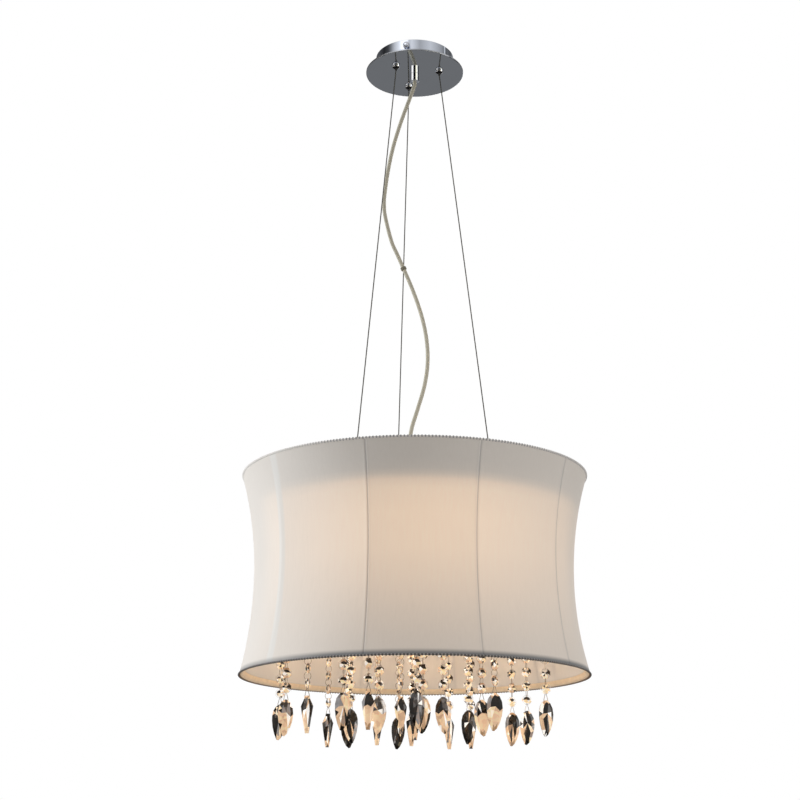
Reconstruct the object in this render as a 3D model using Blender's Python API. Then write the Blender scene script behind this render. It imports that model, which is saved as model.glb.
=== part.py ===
"""Drum chandelier on three wires, with a mirror tray, three lamps and crystal strands.

Metres, +Z up. The ceiling is z = 0, the lamp hangs below it, and its front faces -Y.
Angles are in degrees from the front, turning towards +X.
"""
import math
from bisect import bisect_right

import bmesh
import bpy
from mathutils import Matrix, Vector

for old in list(bpy.data.objects):
    bpy.data.objects.remove(old, do_unlink=True)

# The overall sizes that everything else hangs from.
CEILING_TO_SHADE = 0.630
SHADE_HEIGHT = 0.264
TOP_EDGE_RADIUS = 0.231
EDGE_TAPER = 0.0025
BOTTOM_EDGE_RADIUS = TOP_EDGE_RADIUS - EDGE_TAPER
WAIST_DRAWN_IN = 0.020
WAIST_RADIUS = TOP_EDGE_RADIUS - WAIST_DRAWN_IN
CRYSTALS_BELOW_SHADE = 0.0794
TOUCH = 0.0003
SLIP = 0.0004
CUT_OVERRUN = 0.002

# Canopy: a cup, a plate under it, and the strip that holds both to the ceiling box.
CUP_RADIUS = 0.056
CUP_HEIGHT = 0.0225
CUP_WALL = 0.0012
CUP_EDGE_ROUND = 0.003
PLATE_RADIUS = 0.0705
PLATE_THICKNESS = 0.0022
CANOPY_ANGLE = -11.5
SCREW_DROP = 0.0105
SCREW_SHANK_RADIUS = 0.002
SCREW_SHANK_LENGTH = 0.009
SCREW_KNOB_RADIUS = 0.0042
SCREW_KNOB_LENGTH = 0.0075
SCREW_KNOB_SHARES = ((0.70, 0.0), (1.00, 0.3), (1.00, 0.7), (0.60, 1.0))
BAR_WIDTH = 0.016
BAR_THICKNESS = 0.002
BAR_TAB_HEIGHT = 0.0165
BAR_TAB_GAP = 0.0012
BAR_SLOT_PLACE = 0.034
BAR_SLOT_LENGTH = 0.012
BAR_SLOT_WIDTH = 0.0045
BAR_GROUND_PLACE = 0.014
BAR_GROUND_RADIUS = 0.0017

# Wire grippers and the three suspension wires.
GRIPPER_CIRCLE = 0.037
GRIPPER_ANGLES = {"left": -46.5, "right": 73.5, "back": 193.5}
GRIPPER_RADIUS = 0.006
GRIPPER_HEAD = 0.0042
GRIPPER_DOME_SHARE = 0.45
GRIPPER_FACE_SHARE = 0.72
GRIPPER_NECK_RADIUS = 0.0035
GRIPPER_NUT_RADIUS = 0.0055
GRIPPER_NUT_HEIGHT = 0.003
CHAMBER_RADIUS = 0.0024
CHAMBER_TOP_WALL = 0.0025
PLUNGER_RADIUS = 0.0019
PLUNGER_PROUD = 0.0028
PLUNGER_TRAVEL = 0.0020
PLUNGER_STOP_GAP = 0.0005
WIRE_RADIUS = 0.00065
WIRE_BORE_RADIUS = 0.0011
WIRE_TAIL = 0.0015
ANCHOR_CIRCLE = 0.112
ANCHOR_RADIUS = 0.0035
ANCHOR_HEIGHT = 0.012
ANCHOR_BORE_DEPTH = 0.010
ANCHOR_STUD_RADIUS = 0.0025
ANCHOR_NUT_RADIUS = 0.005
ANCHOR_NUT_HEIGHT = 0.0028

# Flex from the canopy to the lamps, and the clip that ties it to the back wire.
GRIP_RADIUS = 0.006
GRIP_NECK_RADIUS = 0.004
GRIP_PROUD = 0.012
GRIP_NUT_RADIUS = 0.0065
GRIP_NUT_HEIGHT = 0.003
GRIP_COLLAR_STEP = 0.001
CORD_RADIUS = 0.00275
CORD_POINT_SPACING = 0.0165
ROUTE_STEPS = 16
CLIP_HEIGHT = 0.004
CLIP_WALL = 0.00105
CLIP_LAP = 0.0007

# Mirror tray, wiring cup, sockets and bulbs.
TRAY_BELOW_EDGE = 0.050
TRAY_TO_WAIST = 0.025
TRAY_RADIUS = WAIST_RADIUS - TRAY_TO_WAIST
TRAY_LIP = 0.010
TRAY_THICKNESS = 0.0015
TRAY_EDGE_ROUND = 0.002
WIRING_CUP_RADIUS = 0.080
WIRING_CUP_DEPTH = 0.020
WIRING_CUP_WALL = 0.001
WIRING_CUP_ROUND = 0.004
STEM_RADIUS = 0.005
STEM_ABOVE_TRAY = 0.012
STEM_NUT_RADIUS = 0.010
STEM_NUT_HEIGHT = 0.004
SOCKET_CIRCLE = 0.058
SOCKET_RADIUS = 0.012
SOCKET_LENGTH = 0.034
SOCKET_NECK_RADIUS = 0.005
SOCKET_NUT_RADIUS = 0.008
SOCKET_NUT_HEIGHT = 0.003
SOCKET_BORE_DEPTH = 0.026
BULB_BASE_RADIUS = 0.0068
BULB_BASE_LENGTH = 0.023
BULB_RADIUS = 0.0175
BULB_LENGTH = 0.050
BULB_GLASS_SHARES = ((0.52, 0.06), (0.88, 0.28), (1.00, 0.50), (0.86, 0.72), (0.45, 0.93))

# Crystal frame, finial and strands.
RING_WIRE_RADIUS = 0.0015
RING_SPOKE_RADIUS = 0.00135
RING_TO_WAIST = 0.037
OUTER_RING_RADIUS = WAIST_RADIUS - RING_TO_WAIST
INNER_RING_RADIUS = 0.105
HUB_RADIUS = 0.014
HUB_THICKNESS = 0.002
HUB_ABOVE_RING = 0.015
SPOKE_ANGLES = (-38.0, 82.0, 202.0)
STUD_RADIUS = 0.003
STUD_IN_FINIAL = 0.0035
FINIAL_RADIUS = 0.008
FINIAL_HEIGHT = 0.0072
FINIAL_TIP_SHARE = 0.4
EYE_RADIUS = 0.004
EYE_SIDES = 8
LINK_RADIUS = 0.0007
HOOK_RADIUS = 0.0027
HOOK_ANGLES = (190, 130, 70, 10, -50)
HOOK_TO_BEAD = 0.0065
BEAD_COUNT = 5
BEAD_SIZE = 0.014
BEAD_DEPTH = 0.007
BEAD_PITCH = 0.0185
DROP_LINK = 0.0075
LEAF_LENGTH = 0.045
LEAF_WIDTH = 0.019
ICICLE_LENGTH = 0.045
ICICLE_WIDTH = 0.015
DROP_DEPTH = 0.008

# Shade: cover, lining, braid and the wire frame between them.
RIB_COUNT = 10
FIRST_RIB_ANGLE = -51.3
PANEL_STEPS = 3
HEIGHT_STEPS = 4
WAIST_FLATTENING_SHARE = 0.35
COVER_THICKNESS = 0.0012
LINING_THICKNESS = 0.0008
LINING_SHORT = 0.008
BRAID_THICKNESS = 0.0012
BRAID_HEIGHT = 0.0045
FRAME_WIRE_RADIUS = 0.0014
EDGE_WIRE_RADIUS = 0.0015
EDGE_WIRE_INSET = 0.0035
GALLERY_ON_TRAY = 0.006
GALLERY_RADIUS = TRAY_RADIUS - GALLERY_ON_TRAY
GALLERY_WIRE_RADIUS = 0.00175
GALLERY_SPOKE_RADIUS = 0.0015
SPOKE_SLOT_GAP = 0.0006

# Heights that follow from the sizes above.
CUP_FLOOR = -CUP_HEIGHT + CUP_WALL
PLATE_TOP = -CUP_HEIGHT - TOUCH
PLATE_UNDERSIDE = PLATE_TOP - PLATE_THICKNESS
SHADE_TOP = -CEILING_TO_SHADE
SHADE_BOTTOM = SHADE_TOP - SHADE_HEIGHT
SHADE_MIDDLE = (SHADE_TOP + SHADE_BOTTOM) / 2
TRAY_TOP = SHADE_TOP - TRAY_BELOW_EDGE
TRAY_UNDERSIDE = TRAY_TOP - TRAY_THICKNESS
BEADS_LENGTH = HOOK_TO_BEAD + (BEAD_COUNT - 1) * BEAD_PITCH + BEAD_SIZE
STRAND_LENGTH = BEADS_LENGTH + DROP_LINK + LEAF_LENGTH
RING_HEIGHT = SHADE_BOTTOM - CRYSTALS_BELOW_SHADE + STRAND_LENGTH
HUB_HEIGHT = RING_HEIGHT + HUB_ABOVE_RING

# Strands as (angle, drop), read from where their tips hang in front and behind.
OUTER_STRANDS = (
    (-90.0, "leaf"), (-67.8, "leaf"), (-49.0, "icicle"), (-29.5, "leaf"), (-18.5, "icicle"),
    (0.8, "leaf"), (33.5, "leaf"), (71.2, "leaf"), (119.8, "leaf"), (130.3, "leaf"),
    (153.5, "icicle"), (164.2, "icicle"), (187.5, "leaf"), (212.0, "leaf"), (223.0, "icicle"),
)
INNER_STRANDS = (
    (-25.0, "leaf"), (-9.5, "icicle"), (5.5, "leaf"), (19.5, "leaf"), (53.2, "leaf"),
    (136.5, "leaf"), (182.2, "icicle"), (208.5, "icicle"), (234.5, "leaf"),
)

# Drop outlines, right side then tip then left side: shares of half the width and of the length.
LEAF_SHARES = (
    (0.50, 0.10), (1.00, 0.34), (0.82, 0.66), (0.25, 1.00), (-0.62, 0.72), (-1.00, 0.40), (-0.55, 0.12),
)
ICICLE_SHARES = (
    (0.80, 0.12), (1.00, 0.28), (0.56, 0.70), (0.30, 1.00),
    (-0.30, 1.00), (-0.56, 0.70), (-1.00, 0.28), (-0.80, 0.12),
)
DROP_BELLY_SHARE = 0.36

# The flex's route between its two fittings, with the clip at its middle point.
CLIP_POINT = (-0.0161, 0.0612, -0.3035)
CORD_ABOVE_CLIP = (
    (-0.0068, 0.0015, -0.0625), (-0.0197, 0.0075, -0.0975), (-0.0305, 0.0170, -0.1307),
    (-0.0382, 0.0285, -0.1630), (-0.0433, 0.0400, -0.1952), (-0.0443, 0.0455, -0.2115),
    (-0.0425, 0.0505, -0.2281), (-0.0337, 0.0580, -0.2622), (-0.0250, 0.0605, -0.2825),
)
CORD_BELOW_CLIP = (
    (-0.0034, 0.0600, -0.3355), (0.0087, 0.0558, -0.3736), (0.0163, 0.0494, -0.4120),
    (0.0182, 0.0416, -0.4503), (0.0136, 0.0330, -0.4883), (0.0039, 0.0240, -0.5257),
    (-0.0053, 0.0160, -0.5609), (-0.0070, 0.0080, -0.6000), (-0.0030, 0.0020, -0.6400),
)

# Sides of the turned pieces.
CANOPY_SIDES = 32
TRAY_SIDES = 36
CUP_SIDES = 20
SMALL_SIDES = 10
TINY_SIDES = 8
OUTER_RING_SIDES = 36
INNER_RING_SIDES = 24
GALLERY_SIDES = 2 * RIB_COUNT
WIRE_SIDES = 6

FINISHES = {
    "mirror": ((0.82, 0.83, 0.84), 0.06, 1.0),
    "chrome": ((0.72, 0.73, 0.75), 0.14, 1.0),
    "zinc": ((0.55, 0.56, 0.57), 0.38, 1.0),
    "wire": ((0.45, 0.46, 0.47), 0.32, 1.0),
    "flex": ((0.62, 0.60, 0.52), 0.45, 0.0),
    "dark_clip": ((0.08, 0.08, 0.08), 0.50, 0.0),
    "porcelain": ((0.86, 0.85, 0.82), 0.30, 0.0),
    "bulb_glass": ((1.00, 0.88, 0.68), 0.20, 0.0),
    "crystal": ((0.90, 0.92, 0.93), 0.03, 0.0),
    "white_wire": ((0.80, 0.80, 0.78), 0.45, 0.0),
    "cover": ((0.86, 0.80, 0.72), 0.85, 0.0),
    "lining": ((0.90, 0.80, 0.66), 0.80, 0.0),
    "braid": ((0.84, 0.80, 0.74), 0.85, 0.0),
}


def finish(name):
    """The Principled material of one finish, made the first time it is asked for."""
    if name in bpy.data.materials:
        return bpy.data.materials[name]
    colour, roughness, metallic = FINISHES[name]
    made = bpy.data.materials.new(name)
    made.use_nodes = True
    shader = made.node_tree.nodes["Principled BSDF"]
    shader.inputs["Base Color"].default_value = (*colour, 1.0)
    shader.inputs["Roughness"].default_value = roughness
    shader.inputs["Metallic"].default_value = metallic
    return made


def mesh_from(bm, name):
    """Close a bmesh into a mesh with its faces pointing out and its round sides smooth."""
    bmesh.ops.recalc_face_normals(bm, faces=bm.faces)
    mesh = bpy.data.meshes.new(name)
    bm.to_mesh(mesh)
    bm.free()
    mesh.shade_smooth()
    mesh.set_sharp_from_angle(angle=math.radians(32))
    return mesh


def piece(name, mesh, finish_name, place=(0, 0, 0), turn=0.0):
    """One named object; place is its origin, turn its angle about the vertical in degrees."""
    made = bpy.data.objects.new(name, mesh)
    bpy.context.scene.collection.objects.link(made)
    if not mesh.materials:
        mesh.materials.append(finish(finish_name))
    made.location = place
    made.rotation_euler.z = math.radians(turn)
    return made


def polar(radius, angle, height=0.0):
    """A point at an angle from the front, turning towards +X."""
    turn = math.radians(angle)
    return Vector((radius * math.sin(turn), -radius * math.cos(turn), height))


def bridge(bm, first, second):
    """Join two rings of corners; a ring of one corner is a point on the axis."""
    count = max(len(first), len(second))
    for k in range(count):
        after = (k + 1) % count
        corners = [first[k % len(first)], first[after % len(first)]]
        corners += [second[after % len(second)], second[k % len(second)]]
        bm.faces.new(list(dict.fromkeys(corners)))


def turned(outline, sides):
    """Turn an outline of (radius, height) points; it runs axis to axis, or closes on itself."""
    bm = bmesh.new()
    rings = []
    for radius, height in outline:
        angles = [360 * k / sides for k in range(sides)] if radius > 0 else [0.0]
        rings.append([bm.verts.new(polar(radius, angle, height)) for angle in angles])
    following = rings[1:] if outline[0][0] == 0 else rings[1:] + rings[:1]
    for first, second in zip(rings, following):
        bridge(bm, first, second)
    return bm


def swept(points, radius, sides, flat_normal, closed=False, twist_share=0.0):
    """Sweep a wire along points that lie in one plane, whose normal is given."""
    bm = bmesh.new()
    points = [Vector(point) for point in points]
    normal = Vector(flat_normal).normalized()
    rings = []
    for k, point in enumerate(points):
        before = points[k - 1] if closed or k > 0 else point
        after = points[(k + 1) % len(points)] if closed or k < len(points) - 1 else point
        across = normal.cross((after - before).normalized()).normalized()
        corner_angles = [2 * math.pi * (s + twist_share) / sides for s in range(sides)]
        rings.append([
            bm.verts.new(point + radius * (math.cos(a) * normal + math.sin(a) * across))
            for a in corner_angles
        ])
    following = rings[1:] + rings[:1] if closed else rings[1:]
    for first, second in zip(rings, following):
        bridge(bm, first, second)
    if not closed:
        bm.faces.new(rings[0])
        bm.faces.new(rings[-1])
    return bm


def ring_points(radius, height, sides):
    """Corners of a faceted ring."""
    return [polar(radius, 360 * k / sides, height) for k in range(sides)]


def on_ring(radius, sides, angle):
    """How far a faceted ring lies from its axis at an angle."""
    step = 360 / sides
    from_middle = math.radians((angle % step) - step / 2)
    return radius * math.cos(math.radians(step / 2)) / math.cos(from_middle)


def combine(target, tools, operation):
    """Add a Boolean for each tool, and put the tool out of the model."""
    for tool in tools:
        tool.hide_render = True
        tool.display_type = 'WIRE'
        modifier = target.modifiers.new(tool.name, 'BOOLEAN')
        modifier.operation = operation
        modifier.solver = 'EXACT'
        modifier.object = tool
    return target


def round_cutter(name, radius, low, high, place, sides=SMALL_SIDES):
    """A plain round cutter about a vertical line through place, from low to high."""
    outline = [(0, high), (radius, high), (radius, low), (0, low)]
    return piece(name, mesh_from(turned(outline, sides), name), "zinc", place)


# Canopy.
SCREW_HOLE_RADIUS = SCREW_SHANK_RADIUS + SLIP
TAB_OUTER_FACE = CUP_RADIUS - CUP_WALL - BAR_TAB_GAP


def screw_hole(name, radius):
    """A radial cutter through both sides of the cup and of the bent bar."""
    reach = CUP_RADIUS + CUT_OVERRUN
    ends = [polar(-reach, CANOPY_ANGLE, -SCREW_DROP), polar(reach, CANOPY_ANGLE, -SCREW_DROP)]
    bm = swept(ends, radius, SMALL_SIDES, (0, 0, 1))
    return piece(name, mesh_from(bm, name), "zinc")


def make_mounting_bar():
    """A strip across the ceiling box, with both ends bent down for the side screws."""
    half = TAB_OUTER_FACE
    inner = half - BAR_THICKNESS
    outline = [
        (-half, 0), (half, 0), (half, -BAR_TAB_HEIGHT), (inner, -BAR_TAB_HEIGHT),
        (inner, -BAR_THICKNESS), (-inner, -BAR_THICKNESS), (-inner, -BAR_TAB_HEIGHT),
        (-half, -BAR_TAB_HEIGHT),
    ]
    bm = bmesh.new()
    near = [bm.verts.new((-BAR_WIDTH / 2, y, z)) for y, z in outline]
    far = [bm.verts.new((BAR_WIDTH / 2, y, z)) for y, z in outline]
    bridge(bm, near, far)
    bm.faces.new(near)
    bm.faces.new(far)
    bar = piece("mounting_bar", mesh_from(bm, "mounting_bar"), "zinc", turn=CANOPY_ANGLE)
    low, high = -BAR_THICKNESS - CUT_OVERRUN, CUT_OVERRUN
    cutters = [screw_hole("bar_screw_holes", SCREW_HOLE_RADIUS)]
    place = polar(BAR_GROUND_PLACE, CANOPY_ANGLE)
    cutters.append(round_cutter("ground_hole", BAR_GROUND_RADIUS, low, high, place))
    for side in (-1, 1):
        slot = bmesh.new()
        straight = (BAR_SLOT_LENGTH - BAR_SLOT_WIDTH) / 2
        corners = []
        for end, first_angle in ((1, 0), (-1, 180)):
            for step_angle in (0, 60, 120, 180):
                a = math.radians(first_angle + step_angle)
                x = BAR_SLOT_WIDTH / 2 * math.cos(a)
                y = end * straight + BAR_SLOT_WIDTH / 2 * math.sin(a)
                corners.append((x, y))
        top = [slot.verts.new((x, y, high)) for x, y in corners]
        base = [slot.verts.new((x, y, low)) for x, y in corners]
        bridge(slot, top, base)
        slot.faces.new(top)
        slot.faces.new(base)
        name = "bar_slot_front" if side > 0 else "bar_slot_back"
        place = polar(side * BAR_SLOT_PLACE, CANOPY_ANGLE)
        cutters.append(piece(name, mesh_from(slot, name), "zinc", place, CANOPY_ANGLE))
    combine(bar, cutters, 'DIFFERENCE')


def make_canopy():
    """The spun cup and the plate beneath it, drilled for the grippers and the cord grip."""
    centre_hole = GRIP_NECK_RADIUS + TOUCH
    cup_outline = [
        (centre_hole, -CUP_HEIGHT), (CUP_RADIUS - CUP_EDGE_ROUND, -CUP_HEIGHT),
        (CUP_RADIUS, -CUP_HEIGHT + CUP_EDGE_ROUND), (CUP_RADIUS, 0), (CUP_RADIUS - CUP_WALL, 0),
        (CUP_RADIUS - CUP_WALL, -CUP_HEIGHT + CUP_EDGE_ROUND),
        (CUP_RADIUS - CUP_EDGE_ROUND, CUP_FLOOR), (centre_hole, CUP_FLOOR),
    ]
    cup = piece("canopy_cup", mesh_from(turned(cup_outline, CANOPY_SIDES), "canopy_cup"), "chrome")
    plate_outline = [
        (centre_hole, PLATE_UNDERSIDE), (PLATE_RADIUS, PLATE_UNDERSIDE), (PLATE_RADIUS, PLATE_TOP),
        (centre_hole, PLATE_TOP),
    ]
    plate_mesh = mesh_from(turned(plate_outline, CANOPY_SIDES), "canopy_plate")
    plate = piece("canopy_plate", plate_mesh, "mirror")
    holes = []
    for side, angle in GRIPPER_ANGLES.items():
        name = "gripper_hole_" + side
        low, high = PLATE_UNDERSIDE - CUT_OVERRUN, CUP_FLOOR + CUT_OVERRUN
        place = polar(GRIPPER_CIRCLE, angle)
        holes.append(round_cutter(name, GRIPPER_NECK_RADIUS + SLIP, low, high, place))
    combine(plate, holes, 'DIFFERENCE')
    combine(cup, holes + [screw_hole("cup_screw_holes", SCREW_HOLE_RADIUS)], 'DIFFERENCE')


def make_thumbscrews():
    """Knobs that run through the cup's side into the ends of the bar."""
    knob_start = CUP_RADIUS + TOUCH
    shank_tip = knob_start - SCREW_SHANK_LENGTH
    outline = [
        (0, shank_tip), (SCREW_SHANK_RADIUS, shank_tip), (SCREW_SHANK_RADIUS, knob_start),
    ]
    for wide_share, along_share in SCREW_KNOB_SHARES:
        along = knob_start + SCREW_KNOB_LENGTH * along_share
        outline.append((SCREW_KNOB_RADIUS * wide_share, along))
    outline.append((0, knob_start + SCREW_KNOB_LENGTH))
    bm = turned(outline, SMALL_SIDES)
    bm.transform(Matrix.Rotation(math.radians(90), 4, 'X'))
    mesh = mesh_from(bm, "canopy_thumbscrew")
    for name, angle in (("front", CANOPY_ANGLE), ("back", CANOPY_ANGLE + 180)):
        piece("canopy_thumbscrew_" + name, mesh, "chrome", (0, 0, -SCREW_DROP), angle)


# Grippers, their plungers, the wires and the posts that end them.
NUT_SEAT = CUP_FLOOR + TOUCH
GRIPPER_TOP = NUT_SEAT + GRIPPER_NUT_HEIGHT
HEAD_BOTTOM = PLATE_UNDERSIDE - GRIPPER_HEAD
CHAMBER_TOP = GRIPPER_TOP - CHAMBER_TOP_WALL
PLUNGER_BOTTOM = HEAD_BOTTOM - PLUNGER_PROUD
PLUNGER_TOP = CHAMBER_TOP - PLUNGER_STOP_GAP - PLUNGER_TRAVEL
ANCHOR_TOP = TRAY_TOP + ANCHOR_HEIGHT
TRAY_NUT_TOP = TRAY_UNDERSIDE - TOUCH


def make_grippers():
    """Domed heads with a nut above the cup's floor and a release plunger in the bore."""
    head = PLATE_UNDERSIDE - TOUCH
    shoulder = GRIPPER_HEAD * GRIPPER_DOME_SHARE
    gripper_outline = [
        (CHAMBER_RADIUS, HEAD_BOTTOM), (GRIPPER_RADIUS * GRIPPER_FACE_SHARE, HEAD_BOTTOM),
        (GRIPPER_RADIUS, HEAD_BOTTOM + shoulder), (GRIPPER_RADIUS, head),
        (GRIPPER_NECK_RADIUS, head), (GRIPPER_NECK_RADIUS, NUT_SEAT),
        (GRIPPER_NUT_RADIUS, NUT_SEAT), (GRIPPER_NUT_RADIUS, GRIPPER_TOP),
        (WIRE_BORE_RADIUS, GRIPPER_TOP), (WIRE_BORE_RADIUS, CHAMBER_TOP),
        (CHAMBER_RADIUS, CHAMBER_TOP),
    ]
    plunger_outline = [
        (WIRE_BORE_RADIUS, PLUNGER_BOTTOM), (PLUNGER_RADIUS, PLUNGER_BOTTOM),
        (PLUNGER_RADIUS, PLUNGER_TOP), (WIRE_BORE_RADIUS, PLUNGER_TOP),
    ]
    gripper_mesh = mesh_from(turned(gripper_outline, SMALL_SIDES), "wire_gripper")
    plunger_mesh = mesh_from(turned(plunger_outline, TINY_SIDES), "gripper_plunger")
    for side, angle in GRIPPER_ANGLES.items():
        place = polar(GRIPPER_CIRCLE, angle)
        piece("wire_gripper_" + side, gripper_mesh, "chrome", place, angle)
        piece("gripper_plunger_" + side, plunger_mesh, "zinc", place, angle)


def make_wires():
    """Straight wires that stand upright only inside their fittings."""
    ends = [
        (GRIPPER_CIRCLE, GRIPPER_TOP + WIRE_TAIL), (GRIPPER_CIRCLE, PLUNGER_BOTTOM - TOUCH),
        (ANCHOR_CIRCLE, ANCHOR_TOP + TOUCH), (ANCHOR_CIRCLE, ANCHOR_TOP - ANCHOR_BORE_DEPTH + TOUCH),
    ]
    for side, angle in GRIPPER_ANGLES.items():
        points = [polar(radius, angle, height) for radius, height in ends]
        bm = swept(points, WIRE_RADIUS, WIRE_SIDES, polar(1, angle + 90))
        piece("suspension_wire_" + side, mesh_from(bm, "suspension_wire_" + side), "wire")


def make_anchors():
    """Posts on the tray that grip the wire ends, with a nut under the tray."""
    bore_bottom = ANCHOR_TOP - ANCHOR_BORE_DEPTH
    seat = TRAY_TOP + TOUCH
    nut_bottom = TRAY_NUT_TOP - ANCHOR_NUT_HEIGHT
    outline = [
        (0, bore_bottom), (WIRE_BORE_RADIUS, bore_bottom), (WIRE_BORE_RADIUS, ANCHOR_TOP),
        (ANCHOR_RADIUS, ANCHOR_TOP), (ANCHOR_RADIUS, seat), (ANCHOR_STUD_RADIUS, seat),
        (ANCHOR_STUD_RADIUS, TRAY_NUT_TOP), (ANCHOR_NUT_RADIUS, TRAY_NUT_TOP),
        (ANCHOR_NUT_RADIUS, nut_bottom), (0, nut_bottom),
    ]
    mesh = mesh_from(turned(outline, TINY_SIDES), "wire_anchor")
    for side, angle in GRIPPER_ANGLES.items():
        piece("wire_anchor_" + side, mesh, "chrome", polar(ANCHOR_CIRCLE, angle), angle)


# Flex.
GRIP_BOTTOM = PLATE_UNDERSIDE - GRIP_PROUD
STEM_TOP = TRAY_TOP + STEM_ABOVE_TRAY


def make_cord_grip():
    """The turned fitting in the plate's centre, with its nut inside the cup."""
    seat = PLATE_UNDERSIDE - TOUCH
    nut_top = NUT_SEAT + GRIP_NUT_HEIGHT
    outline = [
        (0, nut_top), (GRIP_NUT_RADIUS, nut_top), (GRIP_NUT_RADIUS, NUT_SEAT),
        (GRIP_NECK_RADIUS, NUT_SEAT), (GRIP_NECK_RADIUS, seat), (GRIP_RADIUS, seat),
        (GRIP_RADIUS, GRIP_BOTTOM + GRIP_COLLAR_STEP),
        (GRIP_RADIUS - GRIP_COLLAR_STEP, GRIP_BOTTOM), (0, GRIP_BOTTOM),
    ]
    piece("cord_grip", mesh_from(turned(outline, SMALL_SIDES), "cord_grip"), "chrome")


def smooth_route(points, spacing):
    """Read evenly spaced points from a smooth curve through the route's own points."""
    fine = []
    for k in range(len(points) - 1):
        p0, p1, p2, p3 = (points[min(max(k + s, 0), len(points) - 1)] for s in (-1, 0, 1, 2))
        for step in range(ROUTE_STEPS):
            t = step / ROUTE_STEPS
            along = p1 + 0.5 * t * ((p2 - p0) + t * ((2 * p0 - 5 * p1 + 4 * p2 - p3)
                                                    + t * (3 * p1 - p0 - 3 * p2 + p3)))
            fine.append(along)
    fine.append(points[-1])
    lengths = [0.0]
    for a, b in zip(fine, fine[1:]):
        lengths.append(lengths[-1] + (b - a).length)
    count = round(lengths[-1] / spacing)
    even = []
    for n in range(count + 1):
        goal = lengths[-1] * n / count
        k = min(bisect_right(lengths, goal) - 1, len(fine) - 2)
        share = (goal - lengths[k]) / (lengths[k + 1] - lengths[k])
        even.append(fine[k].lerp(fine[k + 1], share))
    return even, lengths[-1]


def make_power_cord():
    """The flex in one loose S from the canopy, past the back wire, to the lamp stem."""
    straight = 2 * CORD_RADIUS
    top, end = Vector((0, 0, GRIP_BOTTOM - TOUCH)), Vector((0, 0, STEM_TOP + TOUCH))
    below, above = top - Vector((0, 0, straight)), end + Vector((0, 0, straight))
    route = [below, *CORD_ABOVE_CLIP, CLIP_POINT, *CORD_BELOW_CLIP, above]
    points, length = smooth_route([Vector(point) for point in route], CORD_POINT_SPACING)
    points = [top, *points, end]
    length += 2 * straight
    curve = bpy.data.curves.new("power_cord", 'CURVE')
    curve.dimensions = '3D'
    curve.bevel_depth = CORD_RADIUS
    curve.bevel_resolution = 2
    curve.use_fill_caps = True
    spline = curve.splines.new('POLY')
    spline.points.add(len(points) - 1)
    for corner, point in zip(spline.points, points):
        corner.co = (*point, 1.0)
    cord = bpy.data.objects.new("power_cord", curve)
    bpy.context.scene.collection.objects.link(cord)
    curve.materials.append(finish("flex"))
    print("flex", len(points), "points,", round(length, 4), "m long")


def make_cord_clip():
    """Two joined loops: the larger holds the flex, the smaller slips over the back wire."""
    cord_bore = CORD_RADIUS + SLIP
    cord_outer = cord_bore + CLIP_WALL
    wire_outer = WIRE_BORE_RADIUS + CLIP_WALL
    loops = []
    centre = Vector(CLIP_POINT)
    spacing = cord_outer + wire_outer - CLIP_LAP
    above, below = Vector(CORD_ABOVE_CLIP[-1]), Vector(CORD_BELOW_CLIP[0])
    lean = math.atan((ANCHOR_CIRCLE - GRIPPER_CIRCLE) / (PLUNGER_BOTTOM - ANCHOR_TOP))
    wire_way = polar(math.sin(lean), GRIPPER_ANGLES["back"], -math.cos(lean))
    for name, bore, outer, place, way in (
        ("cord_clip", cord_bore, cord_outer, centre, below - above),
        ("clip_wire_loop", WIRE_BORE_RADIUS, wire_outer, centre + Vector((0, spacing, 0)), wire_way),
    ):
        half = CLIP_HEIGHT / 2
        bm = turned([(bore, -half), (outer, -half), (outer, half), (bore, half)], TINY_SIDES)
        bm.transform(way.to_track_quat('Z', 'Y').to_matrix().to_4x4())
        loops.append(piece(name, mesh_from(bm, name), "dark_clip", place))
    combine(loops[0], loops[1:], 'UNION')


# Tray and lamps.
CUP_TOP = TRAY_UNDERSIDE - TOUCH
WIRING_FLOOR = CUP_TOP - WIRING_CUP_DEPTH
SOCKET_TOP = WIRING_FLOOR - TOUCH
SOCKET_MOUTH = SOCKET_TOP - SOCKET_LENGTH
SOCKET_ANGLES = [angle + 60 for angle in SPOKE_ANGLES]
HUB_TOP = HUB_HEIGHT + HUB_THICKNESS / 2
HUB_BOTTOM = HUB_HEIGHT - HUB_THICKNESS / 2


def make_tray():
    """The mirror tray with a rolled edge, drilled for the stem and the three posts."""
    hole = STEM_RADIUS + TOUCH
    inside = TRAY_RADIUS - TRAY_THICKNESS
    outline = [
        (hole, TRAY_TOP), (TRAY_RADIUS - TRAY_EDGE_ROUND, TRAY_TOP),
        (TRAY_RADIUS, TRAY_TOP - TRAY_EDGE_ROUND), (TRAY_RADIUS, TRAY_TOP - TRAY_LIP),
        (inside, TRAY_TOP - TRAY_LIP), (inside, TRAY_UNDERSIDE), (hole, TRAY_UNDERSIDE),
    ]
    tray = piece("mirror_tray", mesh_from(turned(outline, TRAY_SIDES), "mirror_tray"), "mirror")
    holes = []
    for side, angle in GRIPPER_ANGLES.items():
        low, high = TRAY_UNDERSIDE - CUT_OVERRUN, TRAY_TOP + CUT_OVERRUN
        place = polar(ANCHOR_CIRCLE, angle)
        holes.append(round_cutter("post_hole_" + side, ANCHOR_STUD_RADIUS + SLIP, low, high, place))
    combine(tray, holes, 'DIFFERENCE')


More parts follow.
